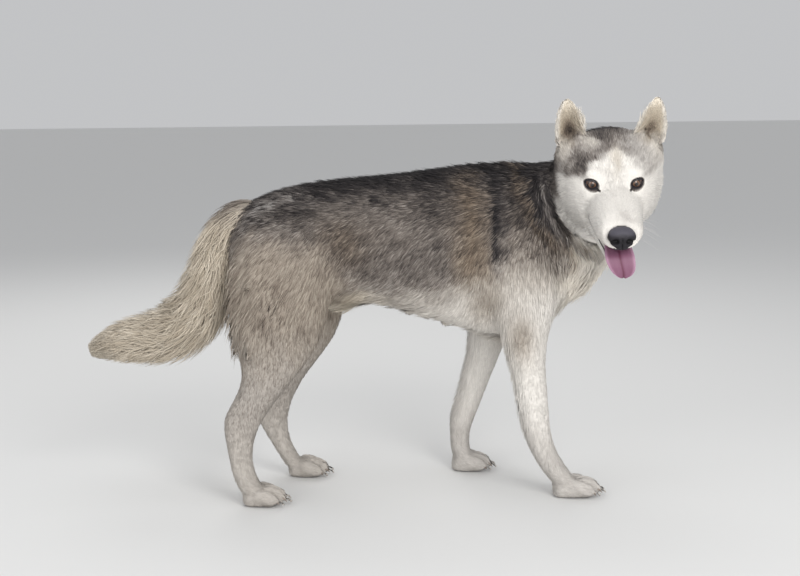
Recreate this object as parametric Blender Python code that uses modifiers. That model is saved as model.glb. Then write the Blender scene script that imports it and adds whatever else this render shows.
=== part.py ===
"""A Siberian husky, life size, standing still in mid-stride with its head turned to its right.

Metres, +Z up, floor at z = 0. +X runs towards the chest and +Y to the dog's left.
The whole animal is lofted from cross-sections, fused into one form, thinned, and then parted
with thin cuts into the parts that a person would name.
"""

import bmesh
import bpy
import math
import random
from collections import namedtuple
from mathutils import Matrix, Vector
from mathutils.bvhtree import BVHTree

# Driving sizes
MID_LINE = Vector((0.043, 0.043, 0.0))  # moves the standing dog so that its box is centred on the origin
GAP = 0.0003  # between neighbouring parts
VOXEL = 0.0023
RING_SIDES = 14
BODY_FACES = 5900  # of the fused form, before the coat's locks
FACE_CARE = 0.006  # how much more of them stay on the head

EYE_POINT = Vector((0.331, -0.110, 0.518))  # midway between the eyes
HEAD_YAW = math.radians(-95)  # from the body's line, so that the face looks over the right shoulder
HEAD_PITCH = math.radians(19.5)  # muzzle below the level
HEAD_ROLL = math.radians(1.0)
EYE_RADIUS = 0.0108
EYE_CENTRE = Vector((-0.0050, 0.0335, -0.001))

# Torso rings: x, top, bottom, height of the widest point, half width
TORSO = (
    (-0.290, 0.436, 0.381, 0.406, 0.028),
    (-0.274, 0.467, 0.351, 0.408, 0.060),
    (-0.240, 0.497, 0.324, 0.411, 0.082),
    (-0.190, 0.516, 0.311, 0.411, 0.089),
    (-0.130, 0.525, 0.303, 0.416, 0.083),
    (-0.065, 0.529, 0.301, 0.421, 0.079),
    (0.000, 0.532, 0.273, 0.411, 0.087),
    (0.065, 0.542, 0.251, 0.401, 0.095),
    (0.125, 0.552, 0.237, 0.396, 0.099),
    (0.180, 0.556, 0.237, 0.396, 0.096),
    (0.230, 0.546, 0.257, 0.391, 0.084),
    (0.272, 0.511, 0.292, 0.386, 0.062),
    (0.300, 0.471, 0.326, 0.391, 0.034),
)
# Neck rings across its path: x, y, z, half width, rise, drop
NECK = (
    (0.150, 0.000, 0.416, 0.078, 0.100, 0.110),
    (0.205, 0.004, 0.422, 0.080, 0.129, 0.150),
    (0.248, 0.010, 0.442, 0.070, 0.116, 0.140),
    (0.288, 0.012, 0.468, 0.064, 0.096, 0.128),
    (0.320, 0.004, 0.492, 0.062, 0.074, 0.110),
    (0.340, -0.012, 0.506, 0.050, 0.050, 0.070),
)
SHEATH = (Vector((-0.088, 0.0, 0.310)), Vector((0.034, 0.014, 0.020)))
# Throat, from the chest up to the turned head: x, y, z, radius
THROAT = (
    (0.276, -0.004, 0.325, 0.046),
    (0.285, -0.012, 0.354, 0.044),
    (0.293, -0.020, 0.384, 0.042),
    (0.304, -0.026, 0.413, 0.042),
    (0.318, -0.026, 0.440, 0.040),
)
# Leg rings, level with the floor: z, front x, rear x, y, half width
FORE_RIGHT = (
    (0.436, 0.245, 0.135, -0.050, 0.036),
    (0.386, 0.262, 0.132, -0.060, 0.042),
    (0.341, 0.262, 0.136, -0.066, 0.041),
    (0.301, 0.250, 0.143, -0.071, 0.037),
    (0.264, 0.235, 0.154, -0.075, 0.033),
    (0.221, 0.231, 0.167, -0.079, 0.028),
    (0.176, 0.235, 0.177, -0.082, 0.025),
    (0.134, 0.237, 0.183, -0.084, 0.024),
    (0.103, 0.241, 0.192, -0.085, 0.024),
    (0.077, 0.249, 0.201, -0.085, 0.023),
    (0.051, 0.264, 0.217, -0.085, 0.022),
    (0.028, 0.280, 0.235, -0.085, 0.024),
    (0.014, 0.287, 0.244, -0.085, 0.020),
)
FORE_LEFT = (
    (0.436, 0.235, 0.120, 0.050, 0.036),
    (0.386, 0.245, 0.112, 0.060, 0.042),
    (0.341, 0.238, 0.112, 0.066, 0.041),
    (0.301, 0.219, 0.114, 0.071, 0.037),
    (0.261, 0.202, 0.120, 0.075, 0.033),
    (0.221, 0.187, 0.119, 0.079, 0.028),
    (0.178, 0.170, 0.110, 0.082, 0.025),
    (0.149, 0.158, 0.103, 0.084, 0.024),
    (0.118, 0.147, 0.094, 0.085, 0.024),
    (0.094, 0.137, 0.088, 0.085, 0.024),
    (0.072, 0.128, 0.089, 0.085, 0.022),
    (0.047, 0.125, 0.090, 0.085, 0.022),
    (0.026, 0.131, 0.094, 0.085, 0.024),
    (0.014, 0.137, 0.100, 0.085, 0.020),
)
HIND_RIGHT = (
    (0.481, -0.160, -0.240, -0.045, 0.030),
    (0.436, -0.128, -0.272, -0.054, 0.040),
    (0.381, -0.112, -0.284, -0.060, 0.044),
    (0.326, -0.107, -0.286, -0.066, 0.042),
    (0.286, -0.116, -0.282, -0.071, 0.037),
    (0.251, -0.139, -0.270, -0.075, 0.033),
    (0.216, -0.165, -0.261, -0.078, 0.028),
    (0.186, -0.191, -0.269, -0.080, 0.025),
    (0.161, -0.211, -0.285, -0.080, 0.022),
    (0.140, -0.226, -0.296, -0.080, 0.021),
    (0.113, -0.240, -0.292, -0.080, 0.021),
    (0.082, -0.246, -0.287, -0.080, 0.019),
    (0.053, -0.242, -0.282, -0.080, 0.020),
    (0.030, -0.231, -0.273, -0.080, 0.022),
    (0.014, -0.225, -0.264, -0.080, 0.020),
)
HIND_LEFT = (
    (0.481, -0.150, -0.240, 0.045, 0.030),
    (0.436, -0.120, -0.268, 0.054, 0.040),
    (0.381, -0.098, -0.274, 0.060, 0.044),
    (0.326, -0.079, -0.264, 0.066, 0.042),
    (0.288, -0.083, -0.246, 0.071, 0.037),
    (0.251, -0.102, -0.231, 0.075, 0.033),
    (0.216, -0.127, -0.226, 0.078, 0.028),
    (0.186, -0.151, -0.234, 0.080, 0.025),
    (0.161, -0.168, -0.248, 0.080, 0.022),
    (0.138, -0.180, -0.259, 0.080, 0.021),
    (0.109, -0.190, -0.251, 0.080, 0.021),
    (0.080, -0.190, -0.234, 0.080, 0.019),
    (0.051, -0.182, -0.217, 0.080, 0.020),
    (0.030, -0.170, -0.204, 0.080, 0.022),
    (0.014, -0.164, -0.196, 0.080, 0.020),
)
# Each leg: its rings, how far ahead its toes reach, length of the paw
LEGS = {
    "fore_right": (FORE_RIGHT, 0.325, 0.088),
    "fore_left": (FORE_LEFT, 0.168, 0.078),
    "hind_right": (HIND_RIGHT, -0.190, 0.078),
    "hind_left": (HIND_LEFT, -0.118, 0.078),
}
# Paw rings: share of the length ahead of the heel, top, half width; and the toes: y, share that they reach
PALM = (
    (0.03, 0.022, 0.014),
    (0.18, 0.032, 0.024),
    (0.41, 0.032, 0.0285),
    (0.61, 0.023, 0.0275),
    (0.75, 0.016, 0.021),
)
TOES = ((-0.0235, 0.83), (-0.0085, 0.98), (0.0085, 0.98), (0.0235, 0.83))
# Head rings in its own frame: distance ahead of the eyes, top, bottom, height of the widest point, half width
CRANIUM = (
    (-0.126, 0.020, -0.060, -0.018, 0.040),
    (-0.113, 0.045, -0.088, -0.018, 0.071),
    (-0.089, 0.063, -0.110, -0.020, 0.089),
    (-0.062, 0.070, -0.116, -0.022, 0.093),
    (-0.040, 0.064, -0.110, -0.024, 0.088),
    (-0.020, 0.048, -0.100, -0.028, 0.077),
    (-0.003, 0.026, -0.088, -0.033, 0.063),
    (0.008, 0.009, -0.078, -0.038, 0.053),
    (0.020, -0.005, -0.068, -0.042, 0.044),
)
MUZZLE = (
    (-0.0120, 0.0000, -0.0560, -0.0320, 0.0465),
    (0.0180, -0.0030, -0.0600, -0.0400, 0.0425),
    (0.0400, -0.0080, -0.0630, -0.0450, 0.0390),
    (0.0600, -0.0130, -0.0660, -0.0480, 0.0365),
    (0.0800, -0.0180, -0.0680, -0.0500, 0.0340),
    (0.0990, -0.0270, -0.0700, -0.0520, 0.0290),
    (0.1090, -0.0400, -0.0680, -0.0540, 0.0205),
)
JAW = (
    (-0.050, -0.035, -0.084, -0.060, 0.052),
    (-0.018, -0.050, -0.092, -0.070, 0.044),
    (0.010, -0.066, -0.098, -0.080, 0.035),
    (0.034, -0.080, -0.105, -0.092, 0.0270),
    (0.056, -0.087, -0.109, -0.098, 0.0215),
    (0.072, -0.091, -0.110, -0.101, 0.0180),
    (0.082, -0.095, -0.109, -0.102, 0.0115),
)
BROW = (Vector((-0.016, 0.031, 0.012)), Vector((0.021, 0.022, 0.014)))
EAR_MOUND = (Vector((-0.066, 0.052, 0.010)), Vector((0.036, 0.0385, 0.054)))
# Ear rows: height, inner edge, outer edge, depth of the cup
EAR = (
    (0.0360, 0.0405, 0.0835, 0.0150),
    (0.0495, 0.0345, 0.0865, 0.0160),
    (0.0650, 0.0365, 0.0880, 0.0150),
    (0.0805, 0.0425, 0.0870, 0.0120),
    (0.0959, 0.0495, 0.0850, 0.0085),
    (0.1085, 0.0560, 0.0810, 0.0050),
    (0.1172, 0.0615, 0.0765, 0.0025),
    (0.1216, 0.0660, 0.0720, 0.0010),
)
EAR_FRONT = -0.048  # how far behind the eyes the ear's edges stand
EAR_THICKNESS = 0.0042
EAR_COLUMNS = 8
EAR_SEAT = (Vector((-0.062, 0.062, 0.054)), Vector((0.0, 0.45, 0.89)))  # a point and a direction
# Nose rings: distance ahead of the eyes, top, bottom, height of the widest point, half width
NOSE = (
    (0.090, -0.0285, -0.0560, -0.040, 0.0195),
    (0.097, -0.0265, -0.0580, -0.040, 0.0208),
    (0.104, -0.0280, -0.0595, -0.041, 0.0205),
    (0.110, -0.0320, -0.0590, -0.042, 0.0180),
    (0.1135, -0.0380, -0.0550, -0.045, 0.0110),
)
NOSE_SEAT = (Vector((0.0965, 0.0, -0.044)), Vector((0.94, 0.0, 0.34)))
# Tongue rings: ahead of the eyes, height, half width, half thickness
TONGUE = (
    (0.022, -0.0690, 0.0150, 0.0026),
    (0.052, -0.0765, 0.0185, 0.0030),
    (0.076, -0.0820, 0.0215, 0.0030),
    (0.0895, -0.0870, 0.0230, 0.0029),
    (0.0960, -0.0960, 0.0230, 0.0027),
    (0.0990, -0.1070, 0.0195, 0.0025),
    (0.1000, -0.1140, 0.0120, 0.0021),
)
# Cuts between the parts: a point and the direction that the cut-off part lies in
NECK_CUT = (Vector((0.235, 0.0, 0.436)), Vector((0.906, 0.0, 0.423)))
HEAD_CUT = (Vector((0.292, 0.0, 0.466)), Vector((0.70, -0.70, 0.20)))
# Outline of shoulder and thigh as seen from the side, then how far from the middle plane the cut runs
SHOULDER = ((0.095, 0.195), (0.080, 0.270), (0.095, 0.340), (0.132, 0.392), (0.190, 0.412),
            (0.242, 0.392), (0.274, 0.340), (0.280, 0.270), (0.268, 0.195))
THIGH = ((-0.095, 0.240), (-0.072, 0.270), (-0.080, 0.335), (-0.110, 0.397), (-0.155, 0.435),
         (-0.205, 0.445), (-0.258, 0.430), (-0.325, 0.380), (-0.325, 0.240))
LEG_CUTS = {"fore": (SHOULDER, 0.040, (0.030, 0.420), 0.215), "hind": (THIGH, 0.032, (-0.380, -0.030), 0.268)}
LID_OPENING = (0.0112, 0.0068)  # half width and half height
LID_SLANT = math.radians(17)  # outer corners above the inner ones
EYE_TURN = math.radians(14)  # each eye looks a little to its own side
NOSTRIL = (Vector((0.1125, 0.0105, -0.0430)), Vector((0.0065, 0.0042, 0.0042)))
NOSTRIL_SLIT = (Vector((0.1080, 0.0170, -0.0455)), Vector((0.0060, 0.0050, 0.0016)))
NOSE_GROOVE = (Vector((0.1160, 0.0, -0.0500)), Vector((0.0040, 0.0011, 0.0100)))
CLAW_LENGTH = 0.0125

# Tail stations from the croup: x, y, z, radius out to the tips of the brush, radius of the core
TAIL = (
    (-0.232, 0.000, 0.470, 0.028, 0.024),
    (-0.261, 0.000, 0.454, 0.043, 0.024),
    (-0.289, 0.001, 0.416, 0.049, 0.023),
    (-0.306, 0.002, 0.365, 0.054, 0.024),
    (-0.328, 0.003, 0.314, 0.060, 0.025),
    (-0.364, 0.004, 0.278, 0.060, 0.025),
    (-0.407, 0.005, 0.263, 0.053, 0.021),
    (-0.450, 0.006, 0.258, 0.044, 0.017),
    (-0.486, 0.007, 0.251, 0.031, 0.011),
    (-0.512, 0.008, 0.243, 0.012, 0.005),
)

# Long coat: flat, tapered locks in rows that overlap along its lie
Locks = namedtuple("Locks", "rows in_row length width thickness lift")
SEED = 7
LOCK_SINK = 0.0042  # how deep a root is set
LOCK_CLEAR = 0.0009  # from a lock's surface to another part
LOCK_SHARES = (0.34, 1.0, 0.74)  # of its width at the root, a third and two thirds along
TAIL_BRUSH = Locks(9, 7, 0.094, 0.027, 0.0046, 0.0)
TAIL_LOCK_SPAN = (0.13, 0.84)  # where along the tail the first and last rows are rooted
BREECHES = Locks(4, 3, 0.062, 0.026, 0.0044, 0.006)
BREECHES_HEIGHT = (0.400, 0.300)
NECK_RUFF = Locks(3, 9, 0.062, 0.029, 0.0040, 0.005)
NECK_RUFF_SPAN = (0.310, 0.258)  # along X
CHEEK_RUFF = Locks(2, 8, 0.056, 0.022, 0.0034, 0.0035)
CHEEK_BACK = {1: 0.052, -1: 0.026}  # how far behind the eyes the ruff starts, left and right
CHEST_RUFF = Locks(2, 4, 0.058, 0.026, 0.0042, 0.005)
BELLY_FRINGE = Locks(5, 3, 0.050, 0.024, 0.0042, 0.008)
BELLY_SPAN = (0.112, -0.020)  # along X

LEFTWARD = Vector((0, 1, 0))
UPWARD = Vector((0, 0, 1))
COAT_WHITE = (0.78, 0.75, 0.70, 1.0)
COAT_GREY = (0.30, 0.28, 0.26, 1.0)
COAT_CREAM = (0.62, 0.54, 0.42, 1.0)


def clear_scene():
    """Removes what the startup scene holds."""
    for obj in list(bpy.data.objects):
        bpy.data.objects.remove(obj)


def new_collection(name):
    collection = bpy.data.collections.new(name)
    bpy.context.scene.collection.children.link(collection)
    return collection


def material(name, colour, roughness):
    made = bpy.data.materials.new(name)
    made.use_nodes = True
    shader = made.node_tree.nodes["Principled BSDF"]
    shader.inputs["Base Color"].default_value = colour
    shader.inputs["Roughness"].default_value = roughness
    shader.inputs["Metallic"].default_value = 0.0
    made.diffuse_color = colour
    return made


def add_object(name, mesh, collection):
    obj = bpy.data.objects.new(name, mesh)
    collection.objects.link(obj)
    return obj


def section(centre, side, up, wide, rise, drop, square=2.0, count=RING_SIDES):
    """Points of one closed cross-section, an ellipse with its own height above and below its centre."""
    points = []
    for k in range(count):
        angle = 2 * math.pi * k / count
        c, s = math.cos(angle), math.sin(angle)
        across = math.copysign(abs(c) ** (2 / square), c) * wide
        height = math.copysign(abs(s) ** (2 / square), s) * (rise if s > 0 else drop)
        points.append(centre + side * across + up * height)
    return points


def loft(name, sections, collection, levels=2):
    """A closed skin over a row of cross-sections, rounded by subdivision, as a finished mesh."""
    bm = bmesh.new()
    rings = [[bm.verts.new(p) for p in points] for points in sections]
    for near, far in zip(rings, rings[1:]):
        for k in range(len(near)):
            n = (k + 1) % len(near)
            bm.faces.new((near[k], near[n], far[n], far[k]))
    bm.faces.new(reversed(rings[0]))
    bm.faces.new(rings[-1])
    bmesh.ops.recalc_face_normals(bm, faces=bm.faces)
    mesh = bpy.data.meshes.new(name)
    bm.to_mesh(mesh)
    bm.free()
    obj = add_object(name, mesh, collection)
    if levels:
        smooth = obj.modifiers.new("round", "SUBSURF")
        smooth.levels = smooth.render_levels = levels
        apply_modifiers(obj)
    return obj


def apply_modifiers(obj):
    """Replaces the object's mesh with its evaluated one."""
    bpy.context.view_layer.update()
    graph = bpy.context.evaluated_depsgraph_get()
    mesh = bpy.data.meshes.new_from_object(obj.evaluated_get(graph))
    obj.modifiers.clear()
    old, obj.data = obj.data, mesh
    bpy.data.meshes.remove(old)


def upright_loft(name, rows, collection, square=2.0):
    """Sections across X: x, top, bottom, height of the widest point, half width."""
    return loft(
        name,
        [
            section(Vector((x, 0, mid)), LEFTWARD, UPWARD, wide, top - mid, mid - low, square)
            for x, top, low, mid, wide in rows
        ],
        collection,
    )


def leg_loft(name, rows, collection):
    """Sections level with the floor: z, front x, rear x, y, half width."""
    return loft(
        name,
        [
            section(
                Vector(((front + rear) / 2, y, z)),
                Vector((0, 1, 0)),
                Vector((1, 0, 0)),
                wide,
                (front - rear) / 2,
                (front - rear) / 2,
            )
            for z, front, rear, y, wide in rows
        ],
        collection,
    )


def path_loft(name, rows, side, collection, levels=2, count=RING_SIDES):
    """Sections across a path: centre, half width, rise, drop. Each is turned to the path's own direction."""
    centres = [Vector(row[0]) for row in rows]
    sections = []
    for k, (centre, wide, rise, drop) in enumerate(rows):
        along = (centres[min(k + 1, len(rows) - 1)] - centres[max(k - 1, 0)]).normalized()
        across = (side - along * side.dot(along)).normalized()
        sections.append(section(Vector(centre), across, along.cross(across), wide, rise, drop, count=count))
    return loft(name, sections, collection, levels)


def ellipsoid(name, centre, radii, collection, segments=24, rings=14):
    bm = bmesh.new()
    bmesh.ops.create_uvsphere(bm, u_segments=segments, v_segments=rings, radius=1.0)
    bmesh.ops.scale(bm, vec=radii, verts=bm.verts)
    bmesh.ops.translate(bm, vec=centre, verts=bm.verts)
    mesh = bpy.data.meshes.new(name)
    bm.to_mesh(mesh)
    bm.free()
    return add_object(name, mesh, collection)


def mirrored(vector, sign):
    return Vector((vector.x, vector.y * sign, vector.z))


def head_matrix():
    """From the head's own frame (X ahead, Y to its left, Z up, origin between the eyes) to the body's."""
    turn = Matrix.Rotation(HEAD_YAW, 4, "Z") @ Matrix.Rotation(HEAD_PITCH, 4, "Y")
    return Matrix.Translation(EYE_POINT) @ turn @ Matrix.Rotation(HEAD_ROLL, 4, "X")


def paw_pieces(name, toe_tip, length, y, collection):
    """The pad and four toes of one paw, standing on the floor with the toes towards +X."""
    heel = toe_tip - length
    palm = [(heel + share * length, top, -0.005, top * 0.4, wide) for share, top, wide in PALM]
    pieces = [upright_loft(name + "_palm", palm, collection)]
    pieces[0].data.transform(Matrix.Translation((0, y, 0)))
    for k, (offset, share) in enumerate(TOES):
        reach = share * length
        rows = [
            ((heel + reach - 0.045, y + offset * 0.8, 0.019), 0.0098, 0.010, 0.014),
            ((heel + reach - 0.028, y + offset, 0.0185), 0.0103, 0.0110, 0.016),
            ((heel + reach - 0.014, y + offset * 1.04, 0.0130), 0.0098, 0.0100, 0.014),
            ((heel + reach - 0.004, y + offset * 1.05, 0.0085), 0.0072, 0.0072, 0.010),
        ]
        pieces.append(path_loft(f"{name}_toe_{k}", rows, Vector((0, -1, 0)), collection))
    return pieces


def head_pieces(collection):
    """Skull, muzzle, lower jaw, cheeks, brows and the mounds under the ears."""
    pieces = [
        upright_loft("cranium", CRANIUM, collection, square=2.35),
        upright_loft("muzzle", MUZZLE, collection, square=2.35),
        upright_loft("jaw", JAW, collection, square=2.2),
    ]
    for sign in (-1, 1):
        for centre, radii in (BROW, EAR_MOUND, (EYE_CENTRE, Vector((1, 1, 1)) * (EYE_RADIUS + 0.0022))):
            pieces.append(ellipsoid("mound", mirrored(centre, sign), radii, collection))
    for piece in pieces:
        piece.data.transform(head_matrix())
    return pieces


def joined(name, pieces, collection):
    """One object that holds all the pieces' faces. The pieces are removed."""
    bm = bmesh.new()
    for piece in pieces:
        bm.from_mesh(piece.data)
        bpy.data.objects.remove(piece)
    mesh = bpy.data.meshes.new(name)
    bm.to_mesh(mesh)
    bm.free()
    return add_object(name, mesh, collection)


def fused_form(scratch):
    """All flesh but ears and tail fused into one closed skin, smoothed, thinned and cut flat at the floor."""
    pieces = [upright_loft("trunk", TORSO, scratch)]
    neck = [((x, y, z), wide, rise, drop) for x, y, z, wide, rise, drop in NECK]
    pieces.append(path_loft("neck_form", neck, Vector((0, 1, 0)), scratch))
    pieces.append(ellipsoid("sheath_form", SHEATH[0], SHEATH[1], scratch))
    throat = [((x, y, z), radius, radius, radius) for x, y, z, radius in THROAT]
    pieces.append(path_loft("throat_form", throat, Vector((0, 1, 0)), scratch))
    for name, (rows, toe_tip, length) in LEGS.items():
        pieces.append(leg_loft(name + "_form", rows, scratch))
        pieces += paw_pieces(name, toe_tip, length, rows[-1][3], scratch)
    pieces += head_pieces(scratch)
    form = joined("form", pieces, scratch)
    remesh = form.modifiers.new("fuse", "REMESH")
    remesh.mode = "VOXEL"
    remesh.voxel_size = VOXEL
    smooth = form.modifiers.new("soften", "SMOOTH")
    smooth.factor = 0.5
    smooth.iterations = 10
    apply_modifiers(form)
    group = form.vertex_groups.new(name="face")
    eyes = head_matrix().translation
    for vertex in form.data.vertices:
        near = (vertex.co - eyes).length < 0.15
        group.add([vertex.index], 0.5 if near else 1.0, "REPLACE")
    thin_out(form, BODY_FACES, group.name)
    form.vertex_groups.clear()
    keep_side(form.data, Vector((0, 0, 0)), Vector((0, 0, 1)))
    return form


def thin_out(obj, faces, group=""):
    """Collapses edges until that many triangles are left, fewer of them in the group's finer places."""
    thin = obj.modifiers.new("thin", "DECIMATE")
    thin.ratio = faces / sum(len(face.vertices) - 2 for face in obj.data.polygons)
    thin.use_collapse_triangulate = True
    if group:
        thin.vertex_group = group
        thin.vertex_group_factor = FACE_CARE
    apply_modifiers(obj)


def keep_side(mesh, point, normal):
    """Cuts the mesh with a plane, keeps the side that the normal points to, and closes the cut."""
    bm = bmesh.new()
    bm.from_mesh(mesh)
    everything = bm.verts[:] + bm.edges[:] + bm.faces[:]
    cut = bmesh.ops.bisect_plane(
        bm, geom=everything, dist=1e-6, plane_co=point, plane_no=normal, clear_inner=True
    )["geom_cut"]
    edges = [item for item in cut if isinstance(item, bmesh.types.BMEdge)]
    if edges:
        bmesh.ops.triangle_fill(bm, edges=edges, use_beauty=True, use_dissolve=False)
    bmesh.ops.recalc_face_normals(bm, faces=bm.faces)
    bm.to_mesh(mesh)
    bm.free()


def split(obj, name, point, normal):
    """Cuts off what lies on the normal's side as a new object, leaving a thin gap."""
    normal = normal.normalized()
    part = add_object(name, obj.data.copy(), obj.users_collection[0])
    keep_side(part.data, point + normal * GAP / 2, normal)
    keep_side(obj.data, point - normal * GAP / 2, -normal)
    return part


def boolean(obj, other, operation):
    """Joins, cuts or intersects obj with other for good, then removes other."""
    join = obj.modifiers.new(operation, "BOOLEAN")
    join.operation = operation
    join.object = other
    join.solver = "EXACT"
    apply_modifiers(obj)
    bpy.data.objects.remove(other)


def keep_largest(obj):
    """Removes every loose piece of the mesh but the one with most faces."""
    bm = bmesh.new()
    bm.from_mesh(obj.data)
    left = set(bm.faces)
    pieces = []
    while left:
        piece, edge = set(), [left.pop()]
        while edge:
            face = edge.pop()
            piece.add(face)
            for side in face.edges:
                for other in side.link_faces:
                    if other in left and len(side.link_faces) == 2:
                        left.remove(other)
                        edge.append(other)
        pieces.append(piece)
    largest = max(pieces, key=len)
    bmesh.ops.delete(bm, geom=[f for f in bm.faces if f not in largest], context="FACES")
    loose = [v for v in bm.verts if not v.link_faces]
    bmesh.ops.delete(bm, geom=loose, context="VERTS")
    bm.to_mesh(obj.data)
    bm.free()


def grown(obj, by):
    """A copy whose surface stands that far outside the object's."""
    copy = add_object(obj.name + "_grown", obj.data.copy(), obj.users_collection[0])
    normals = [vertex.normal.copy() for vertex in copy.data.vertices]
    for vertex, normal in zip(copy.data.vertices, normals):
        vertex.co += normal * by
    return copy


def offset_outline(outline, by):
    """The convex outline with every side moved out by that much."""
    moved = []
    count = len(outline)
    centre = Vector((sum(p[0] for p in outline) / count, sum(p[1] for p in outline) / count))
    for k in range(count):
        point = Vector(outline[k])
        sides = [point - Vector(outline[k - 1]), Vector(outline[(k + 1) % count]) - point]
        outward = []
        for side in sides:
            normal = Vector((side.y, -side.x)).normalized()
            outward.append(normal if normal.dot(point - centre) > 0 else -normal)
        moved.append(point + (outward[0] + outward[1]) * by / (1 + outward[0].dot(outward[1])))
    return moved


def prism(name, outline, y_near, y_far, collection):
    """A closed block with the outline given in X and Z, between two distances from the middle plane."""
    rings = [[Vector((x, y, z)) for x, z in outline] for y in (y_near, y_far)]
    return loft(name, rings, collection, levels=0)


def leg_cutter(kind, side, grow, collection):
    """What parts a leg from the trunk: a plate-like block over shoulder or thigh, and a wide one below."""
    outline, inner, (rear, front), top = LEG_CUTS[kind]
    upper = prism("upper", offset_outline(outline, grow), side * (inner - grow), side * 0.25, collection)
    block = ((rear, -0.05), (front, -0.05), (front, top + grow), (rear, top + grow))
    lower = prism("lower", block, side * (0.004 - grow), side * 0.25, collection)
    boolean(upper, lower, "UNION")
    return upper


def claws(name, toe_tip, length, y, collection):
    """Four blunt hooked claws, one at the tip of each toe."""
    made = []
    for k, (offset, share) in enumerate(TOES):
        root = Vector((toe_tip - (1 - share) * length - 0.006, y + offset * 1.05, 0.0115))
        tip = root + Vector((CLAW_LENGTH, 0, -0.0070))
        bend = root + Vector((CLAW_LENGTH * 0.6, 0, -0.0008))
        rows = [(root, 0.0020, 0.0026, 0.0026), (bend, 0.0017, 0.0022, 0.0022), (tip, 0.0007, 0.0008, 0.0008)]
        made.append(path_loft(f"{name}_claw_{k}", rows, Vector((0, -1, 0)), collection, levels=0, count=5))
    return made


def make_ear(name, side, collection):
    """A thin standing cup, open to the front, cut off along the skull and rounded at its tip."""
    rings = []
    for height, inner, outer, cup in EAR:
        middle, half = (inner + outer) / 2, (outer - inner) / 2
        front, back = [], []
        for k in range(EAR_COLUMNS + 1):
            t = -1 + 2 * k / EAR_COLUMNS
            bow = 1 - t * t
            ahead = EAR_FRONT - 0.10 * (height - 0.05) - 0.005 * t - cup * bow
            front.append(Vector((ahead, side * (middle + half * t), height)))
            shell = EAR_THICKNESS * (0.35 + 0.65 * bow)
            back.append(Vector((ahead - shell, side * (middle + half * t * 0.97), height)))
        rings.append(front + back[::-1])
    ear = loft(name, rings, collection, levels=1)
    point, normal = mirrored(EAR_SEAT[0], side), mirrored(EAR_SEAT[1], side).normalized()
    keep_side(ear.data, point + normal * GAP / 2, normal)
    ear.data.transform(head_matrix())
    thin_out(ear, 300)
    return ear


def lid_cutter(side, collection):
    """An almond-shaped rod along the eye's line of sight, to open the lids."""
    points = []
    for k in range(12):
        angle = 2 * math.pi * k / 12
        half = math.copysign(abs(math.cos(angle)) ** 1.0, math.cos(angle)) * LID_OPENING[0]
        rise = math.copysign(abs(math.sin(angle)) ** 1.35, math.sin(angle)) * LID_OPENING[1]
        points.append((half, rise))
    rings = [[Vector((x, across, up)) for across, up in points] for x in (0.0, 0.03)]
    rod = loft("lids", rings, collection, levels=0)
    turn = Matrix.Rotation(side * EYE_TURN, 4, "Z") @ Matrix.Rotation(side * LID_SLANT, 4, "X")
    rod.data.transform(head_matrix() @ Matrix.Translation(mirrored(EYE_CENTRE, side)) @ turn)
    return rod


def ball(name, centre, radius, collection, segments=12, rings=8):
    return ellipsoid(name, centre, Vector((radius, radius, radius)), collection, segments, rings)


def seat(point, normal):
    """A plane given in the head's frame, in the body's."""
    matrix = head_matrix()
    return matrix @ point, (matrix.to_3x3() @ normal).normalized()


def finish_head(head, collection):
    """Cuts the places for eyes, lids, ears, nose and tongue, and returns those parts."""
    made = {}
    for side, word in ((-1, "right"), (1, "left")):
        point, normal = seat(mirrored(EAR_SEAT[0], side), mirrored(EAR_SEAT[1], side))
        keep_side(head.data, point - normal * GAP / 2, -normal)
        made["ear_" + word] = make_ear("ear_" + word, side, collection)
        centre = head_matrix() @ mirrored(EYE_CENTRE, side)
        boolean(head, ball("socket", centre, EYE_RADIUS + GAP, collection), "DIFFERENCE")
        boolean(head, lid_cutter(side, collection), "DIFFERENCE")
        made["eye_" + word] = ball("eye_" + word, centre, EYE_RADIUS, collection)
    point, normal = seat(*NOSE_SEAT)
    keep_side(head.data, point - normal * GAP / 2, -normal)
    nose = upright_loft("nose", NOSE, collection, square=2.4)
    nose.data.transform(head_matrix())
    keep_side(nose.data, point + normal * GAP / 2, normal)
    for side in (-1, 1):
        for centre, radii in (NOSTRIL, NOSTRIL_SLIT):
            hole = ellipsoid("nostril", mirrored(centre, side), radii, collection, 10, 6)
            hole.data.transform(head_matrix())
            boolean(nose, hole, "DIFFERENCE")
    groove = ellipsoid("groove", *NOSE_GROOVE, collection, 8, 8)
    groove.data.transform(head_matrix())
    boolean(nose, groove, "DIFFERENCE")
    thin_out(nose, 320)
    made["nose"] = nose
    rows = [((x, 0, z), wide, thick, thick) for x, z, wide, thick in TONGUE]
    tongue = path_loft("tongue", rows, Vector((0, 1, 0)), collection)
    tongue.data.transform(head_matrix())
    thin_out(tongue, 260)
    boolean(head, grown(tongue, 2 * GAP), "DIFFERENCE")
    made["tongue"] = tongue
    keep_largest(head)
    return made


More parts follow.
